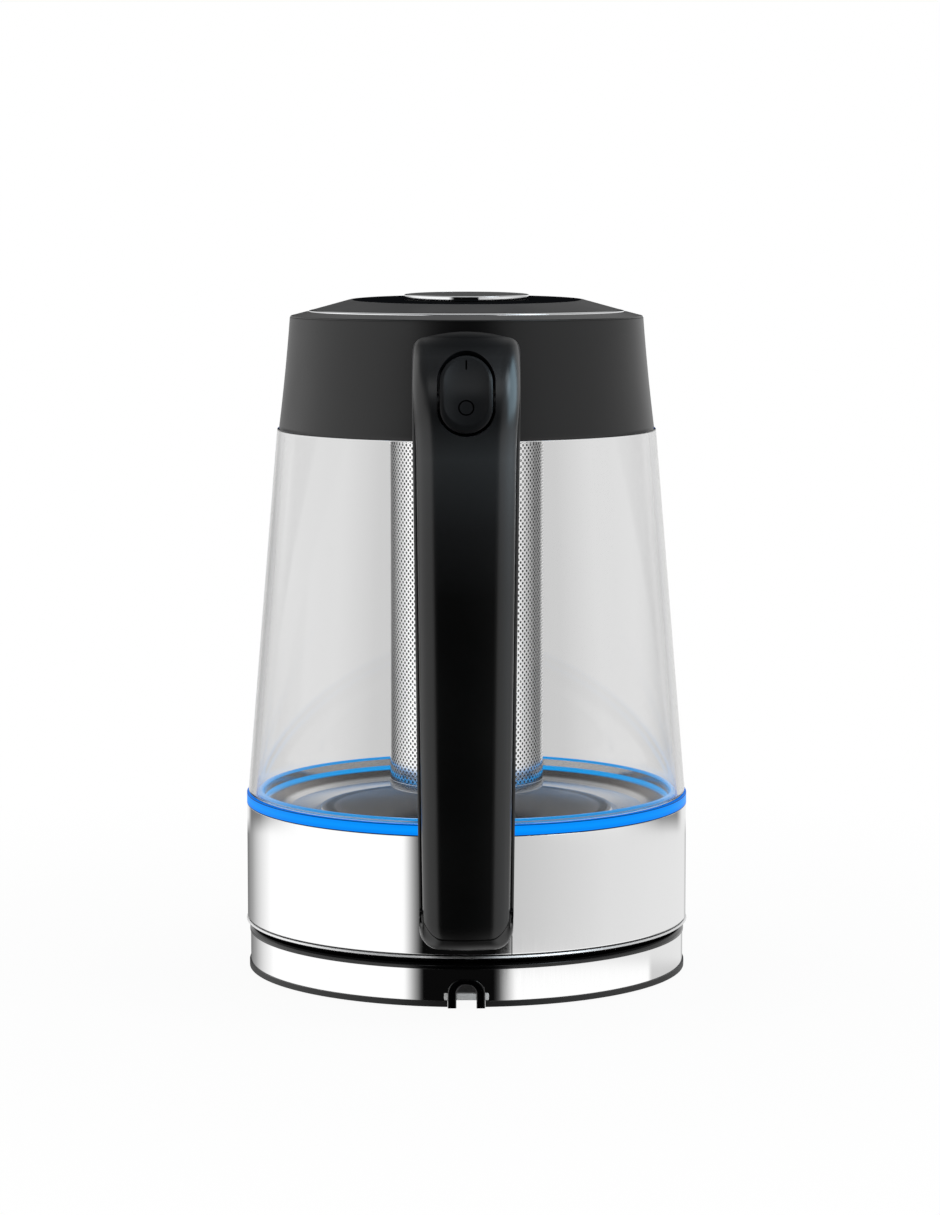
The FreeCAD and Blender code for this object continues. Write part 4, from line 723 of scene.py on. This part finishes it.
def half_width(level):
    """Half of the width, from 15.9 mm at the foot to 18.2 mm at the top."""
    return 15.9 + 2.3 * (level - 27.5) / (236.6 - 27.5)


def side_fillet(run):
    """Radius of the two sides: 4.5 mm on the arm, growing over the bend to 7 mm on the grip."""
    return 4.5 + 2.5 * smooth_step(run, run_1, run_2)


def side_round(x, half, run):
    """Depth of the rounded face: crowned in the middle, most on the arm, a quarter circle at either side."""
    fillet = side_fillet(run)
    flat = half - fillet
    beyond = np.clip(np.abs(x) - flat, 0, fillet)
    crown = 1.8 - 1.5 * smooth_step(run, run_1, run_2)
    quarter_depth = fillet - np.sqrt(np.maximum(fillet ** 2 - beyond ** 2, 0))
    return quarter_depth + crown * np.clip(np.abs(x) / flat, 0, 1) ** 2


def cover_gap(level):
    """How much narrower the cover is than the inner shell at a side: 0.2 mm on top, 1.2 mm on the grip."""
    return 1.2 - 1.0 * smooth_step(level, 195.0, 224.0)


# columns of the face: fractions of the flat part, then of the quarter circle and of the upright side
quarter = np.sin(np.linspace(0, math.pi / 2, 12))[1:]
flat_share = np.concatenate([np.full(13, -1.0), np.linspace(-1, 1, 25), np.full(13, 1.0)])
round_share = np.concatenate([[-1.0, -1.0], -quarter[::-1], np.zeros(25), quarter, [1.0, 1.0]])
wall_depth = np.concatenate([[1.0, 0.5], np.zeros(47), [0.5, 1.0]])
seam_end, corner_wide, corner_tall = run_3 + 5.3, 7.0, 9.0


def seam_run(x, half):
    """Where the cover ends: straight across the middle, with an elliptical corner at either side."""
    beyond = np.clip((np.abs(x) - (half - corner_wide)) / corner_wide, 0, 1)
    return seam_end - corner_tall * (1 - np.sqrt(1 - beyond ** 2))


def face_columns(run, narrow, deep):
    """Distances to the side and depths of the columns for rows at given lengths, with the sides moved in and
    the upright sides drawn to a depth."""
    half = half_width(side_path(run)[1]) - narrow
    x = flat_share[None, :] * (half - side_fillet(run)) + round_share[None, :] * side_fillet(run)
    depth = side_round(x, half, run)
    return x, depth + wall_depth[None, :] * (deep - depth), half


cover_deep, cover_start, drawn_up, edge_in = 10.0, 2.4, 40.0, 0.25
knots = np.concatenate([np.linspace(cover_start, run_1, 8), np.linspace(run_1, run_2, 62)[1:],
                        np.linspace(run_2, run_3, 60)[1:], np.linspace(run_3, seam_end, 22)[1:]])[:, None]
x, depth, half = face_columns(knots, cover_gap(side_path(knots)[1]), cover_deep)
# rows near the end are drawn up at the sides to the rounded corners of the seam
late = np.clip((knots - (seam_end - drawn_up)) / drawn_up, 0, 1)
rows = knots - late * (seam_end - seam_run(x, half))
cover_face = handle_skin(rows, x, depth)
cover_edge = handle_skin(rows[-1:] + 0.2, x[-1:], np.minimum(depth[-1:] + edge_in, cover_deep))
cover_back = handle_skin(rows[::-1], x[::-1], cover_deep + 0 * depth)
# the rocker sits in an oval well in the bend; its rings are drawn from the block of the grid around it
rocker_at, rocker_half, rocker_straight, groove, well_margin, well_side = 217.3, 8.8, 4.2, 0.9, 1.6, 11.6
knot_level = side_path(knots[:, 0])[1]
first_row = int(np.argmax(knot_level < rocker_at + rocker_half + rocker_straight + groove + well_margin)) - 1
last_row = int(np.argmax(knot_level < rocker_at - rocker_half - rocker_straight - groove - well_margin))
left = int(np.argmax(x[first_row] > -well_side)) - 1
right = len(flat_share) - 1 - left
block_rows = np.concatenate([np.full(right - left, first_row), np.arange(first_row, last_row),
                             np.full(right - left, last_row), np.arange(last_row, first_row, -1)])
block_columns = np.concatenate([np.arange(left, right), np.full(last_row - first_row, right),
                                np.arange(right, left, -1), np.full(last_row - first_row, left)])
block_x = x[block_rows, block_columns]
block_z = side_path(rows[block_rows, block_columns])[1]


def oval(direction_x, direction_z, half, straight):
    """Point of an upright oval in a direction from its centre: two half circles joined by straight sides."""
    length = np.hypot(direction_x, direction_z)
    across, along = direction_x / length, direction_z / length
    on_side = half / np.maximum(np.abs(across), 1e-6)
    slope = straight * np.abs(along)
    on_end = slope + np.sqrt(np.maximum(half ** 2 - straight ** 2 + slope ** 2, 0))
    distance = np.where(on_side * np.abs(along) <= straight, on_side, on_end)
    return across * distance, along * distance


def bend_run_at(level):
    """Length along the handle at a level on the bend."""
    return run_1 + bend * (math.pi / 2 - np.arcsin(np.clip((level - bend_at[1]) / bend, -1, 1)))


well_x, well_z = oval(block_x, block_z - rocker_at, rocker_half + groove, rocker_straight)
blend = np.linspace(0, 1, 6)[:, None]
ring_x = block_x[None] * (1 - blend) + well_x[None] * blend
ring_z = block_z[None] * (1 - blend) + (well_z + rocker_at)[None] * blend
ring_run = bend_run_at(ring_z)
ring_depth = side_round(ring_x, half_width(ring_z) - cover_gap(ring_z), ring_run)
rings = handle_skin(ring_run, ring_x, ring_depth)
rings[0] = cover_face[block_rows, block_columns]
well_floor = 9.4
sink = np.array([0.2, 0.6, 3.0, well_floor])[:, None]
well_wall = handle_skin(ring_run[-1:] + 0 * sink, ring_x[-1:] + 0 * sink, ring_depth[-1:] + sink)
middle = np.zeros((1, len(block_x)))
bottom = handle_skin(bend_run_at(middle + rocker_at), middle, middle + well_floor)
cover_grid = np.concatenate([cover_face, cover_edge, cover_back])
cover_points, cover_quads = skin(cover_grid, True, False)
cover_quads = cover_quads.reshape(len(cover_grid), -1, 4)
keep = np.ones(cover_quads.shape[:2], bool)
keep[first_row:last_row, left:right] = False
well_grid = np.concatenate([rings, well_wall, bottom])
cover_parts = [(cover_points, cover_quads[keep]), skin(well_grid, False, True)]
cover = solid("handle_outer", cover_parts, handle_black, "kettle", "satin_black", "handle_cover")
# a large cool soft box at the right, flagged so that it lights the cover and the rocker only
side_box = soft_box("side_box", (1.087, -0.158, 0.727), (0, -0.12, 0.22), 1.3, 1.15, 16.5, "#c8ecff")
flagged = bpy.data.collections.new("flagged")
flagged.objects.link(cover)
side_box.light_linking.receiver_collection = flagged


# Inner shell of the handle: the same black plastic, moulded as one piece with both arms. It lies between a
# line 10.15 mm under the outer edge and the line that the fingers follow, and is screwed to the jug.
def side_arc(centre, radius, begin, end, count):
    """Points of an arc in the side view, between two angles in degrees."""
    turn = np.radians(np.linspace(begin, end, count))
    return np.stack([centre[0] + radius * np.cos(turn), centre[1] + radius * np.sin(turn)], axis=-1)


def arm_line(start, centre_high, high, centre_low, low, end):
    """Line of the handle in the side view: arm, upper arc, 50 points down the grip, lower arc and foot."""
    upper = side_arc(centre_high, high, 90, -4, 40)
    under = side_arc(centre_low, low, -4, -90, 24)
    part = np.linspace(0, 1, 50)[1:-1, None]
    grip = upper[-1] * (1 - part) + under[0] * part
    return np.concatenate([np.linspace(start, upper[0], 9)[:-1], upper, grip, under,
                           np.linspace(under[-1], end, 9)[1:]])


def cap(loop):
    """Fan that closes a loop of points at its middle."""
    count = len(loop)
    index = np.arange(count)
    return (np.concatenate([loop, loop.mean(axis=0)[None]]),
            np.stack([index, (index + 1) % count, np.full(count, count)], axis=-1))


back_line = arm_line((62.0, 226.45), bend_at, 19.85, heel_at, 0.85, (foot_end, 37.65))
finger_line = arm_line((64.0, 200.0), (95.64, 187.0), 13.0, (87.52, 70.8), 13.0, (foot_end, 57.8))
thick = np.linalg.norm(finger_line - back_line, axis=1)[:, None]
inner_half = half_width(back_line[:, 1])[:, None]
# the section goes round its four corners, as distances to the side and depths under the back line
loop_x, loop_depth = [], []
after_corner = np.array([[0.8, 3.0]])
for side, deep, fillet, begin in ((-1, 0, 1.0, 180), (1, 0, 1.0, 270), (1, 1, 6.5, 0), (-1, 1, 6.5, 90)):
    turn = np.radians(np.linspace(begin, begin + 90, 11))[None, :]
    loop_x.append(side * (inner_half - fillet) + fillet * np.cos(turn))
    loop_depth.append(deep * thick + (fillet - 2 * deep * fillet) + fillet * np.sin(turn))
    tangent = math.radians(begin + 180)
    loop_x.append(loop_x[-1][:, -1:] + after_corner * math.cos(tangent))
    loop_depth.append(loop_depth[-1][:, -1:] + after_corner * math.sin(tangent))
deep_share = (np.concatenate(loop_depth, axis=1) / thick)[:, :, None]
section = back_line[:, None, :] + (finger_line - back_line)[:, None, :] * deep_share
inner = np.stack([np.concatenate(loop_x, axis=1), -section[:, :, 0], section[:, :, 1]], axis=-1)
# its foot comes out to the surface below the cover and runs round the heel to the skirt; at the seam it is
# level with the narrower cover, and it widens to its own sides below
foot_deep, cover_step, seam_gap = 12.0, 1.2, 0.3
foot_share = np.concatenate([[0.0, 0.006], np.linspace(0.02, 0.24, 16), np.linspace(0.27, 1.0, 12)])[:, None]
x, depth, half = face_columns(np.full((len(foot_share), 1), run_4), 0.0, foot_deep)
foot_start = seam_run(x, half - cover_step) + seam_gap
foot_rows = foot_start + foot_share * (run_5 - foot_start)
grown = half - cover_step * (1 - smooth_step(foot_share, 0.0, 0.2))
depth = np.where(wall_depth[None, :] > 0, depth, side_round(x, grown, run_4))
depth[0] = np.minimum(depth[0] + edge_in, foot_deep)
foot = np.concatenate([handle_skin(foot_rows, x, depth),
                       handle_skin(foot_rows[::-1], x[::-1], foot_deep + 0 * depth)])
inner_parts = [skin(inner, False, True), cap(inner[0]), cap(inner[-1]), skin(foot, True, False)]
solid("handle_back", inner_parts, handle_black, "kettle", "satin_black", "handle_inner")

# Rocker of the switch: a dished oval key of black plastic with a bevelled rim, turning on a pin in the
# handle, with the usual line and circle for on and off printed on its face.
dish_at, dish_half, dish_straight = rocker_at + 0.9, 7.4, 3.6


def dish_depth(x, level):
    """Depth of the hollow face under the bend: deepest in the middle and level with its rim."""
    reach = np.hypot(x, np.maximum(np.abs(level - dish_at) - dish_straight, 0)) / dish_half
    return 0.4 + 0.9 * (1 - np.clip(reach, 0, 1) ** 2)


turn = np.linspace(0, 2 * math.pi, 140, endpoint=False)
key_x, key_z = oval(np.cos(turn), np.sin(turn), rocker_half, rocker_straight)
face_x, face_z = oval(np.cos(turn), np.sin(turn), dish_half, dish_straight)
bevel_share = np.array([0, 0, 0, 0.03, 0.1, 0.2, 0.5, 0.8, 0.93, 1.0])[:, None]
bevel_depth = np.array([3.6, 2.6, 1.1, 0.85, 0.72, 0.65, 0.54, 0.43, 0.4, 0.4])[:, None]
bevel_x = key_x * (1 - bevel_share) + face_x * bevel_share
bevel_z = (key_z + rocker_at) * (1 - bevel_share) + (face_z + dish_at) * bevel_share
inward = np.linspace(0.97, 0.0, 20)[:, None]
hollow_x, hollow_z = face_x * inward, face_z * inward + dish_at
all_depth = np.concatenate([bevel_depth + 0 * bevel_x, dish_depth(hollow_x, hollow_z)])
key_run = bend_run_at(np.concatenate([bevel_z, hollow_z]))
key = handle_skin(key_run, np.concatenate([bevel_x, hollow_x]), all_depth)
# black ABS, a shade greyer and duller than the cover round it
rocker_black = moulded("rocker_black_plastic", "#161617", 0.3, 0.35, 0.002, mirror=0.23)
rocker = solid("rocker_key", [skin(key, False, True), cap(key[0])], rocker_black, "rocker", "satin_black",
               "switch_rocker")
flagged.objects.link(rocker)
# matt black ink without any gloss, a few hundredths of a millimetre thick
ink_black = moulded("sign_black", "#020202", 0.9, 0.4, 0.002, mirror=0.0)
circle_at, bar_at, bar_half, bar_straight = 213.2, 227.2, 0.27, 1.2
sign_turn = np.linspace(0, 2 * math.pi, 56, endpoint=False)
circle_reach = np.array([2.2, 2.28, 2.6, 2.68, 2.6, 2.28])[None, :]
circle_lift = np.array([0.02, 0.05, 0.05, 0.02, -0.1, -0.1])[None, :]
circle_x = circle_reach * np.cos(sign_turn)[:, None]
circle_z = circle_at + circle_reach * np.sin(sign_turn)[:, None]
circle = handle_skin(bend_run_at(circle_z), circle_x, dish_depth(circle_x, circle_z) - circle_lift)
bar_x, bar_z = oval(np.cos(sign_turn), np.sin(sign_turn), bar_half, bar_straight)
bar_grow = np.array([0.0, 0.85, 1.0, 1.0, 0.0])[:, None]
bar_lift = np.array([0.05, 0.05, 0.02, -0.1, -0.1])[:, None]
bar_x, bar_z = bar_grow * bar_x, bar_at + bar_grow * bar_z
bar = handle_skin(bend_run_at(bar_z), bar_x, dish_depth(bar_x, bar_z) - bar_lift)
solid("rocker_signs", [skin(circle, True, True), skin(bar, False, True)], ink_black, "rocker", "gloss_black")

# Inside. Fittings that show only with the jug off its base or the lid out: rubber feet, brass contacts,
# plated screws and spring, a black pin, the moulded housing and switch works, seals, the heater and the film
# with its lamps.
# soft rubber, dull from the mould
foot_rubber = moulded("foot_rubber", "#262626", 0.75, 0.6, 0.01)
dress(foot_rubber, "foot_rubber", "base_feet")
# bare brass with the fine lines of rolled strip
brass = polished("rolled_brass", "#d9bd80", 0.22, 0.6, (1.0, 0.1, 1.0))
dress(brass, "brass", "base_contacts", "socket_contacts", "bimetal_discs")
# zinc plated steel, a little clouded
zinc_steel = polished("zinc_plated_steel", "#bcbcbe", 0.3, 1.5, (1.0, 1.0, 1.0))
dress(zinc_steel, "screw_steel", "base_screws", "bottom_screws", "handle_screws", "button_spring")
# steel oxidised black, so dull that the pin doesn't show in the groove round the rocker
black_steel = moulded("black_oxide_steel", "#050505", 0.8, 1.0, 0.002)
dress(black_steel, "screw_steel", "rocker_pin")
# rolled aluminium with fine lines along one way
aluminium = polished("rolled_aluminium", "#d6d6d8", 0.35, 0.5, (1.0, 0.08, 1.0))
dress(aluminium, "aluminium", "heat_spreader", "heating_element")
dress(inner_grey, "inner_plastic", "kettle_socket", "lower_housing", "control_unit", "switch_frame",
      "micro_switch", "steam_thermostat")
# translucent silicone, milky in the thick
milky_silicone = moulded("milky_silicone", "#8c8e90", 0.45, 1.0, 0.002)
dress(milky_silicone, "silicone", "neck_seal", "lid_seal")
# pale flexible film, satin
film = moulded("circuit_film", "#dededa", 0.5, 1.0, 0.002)
dress(film, "circuit_film", "led_strip")
# cast resin of the lamps, pale blue and glossy
lamp_resin = moulded("lamp_resin", "#c4d8f8", 0.2, 1.0, 0.001)
dress(lamp_resin, "lamp", "leds")
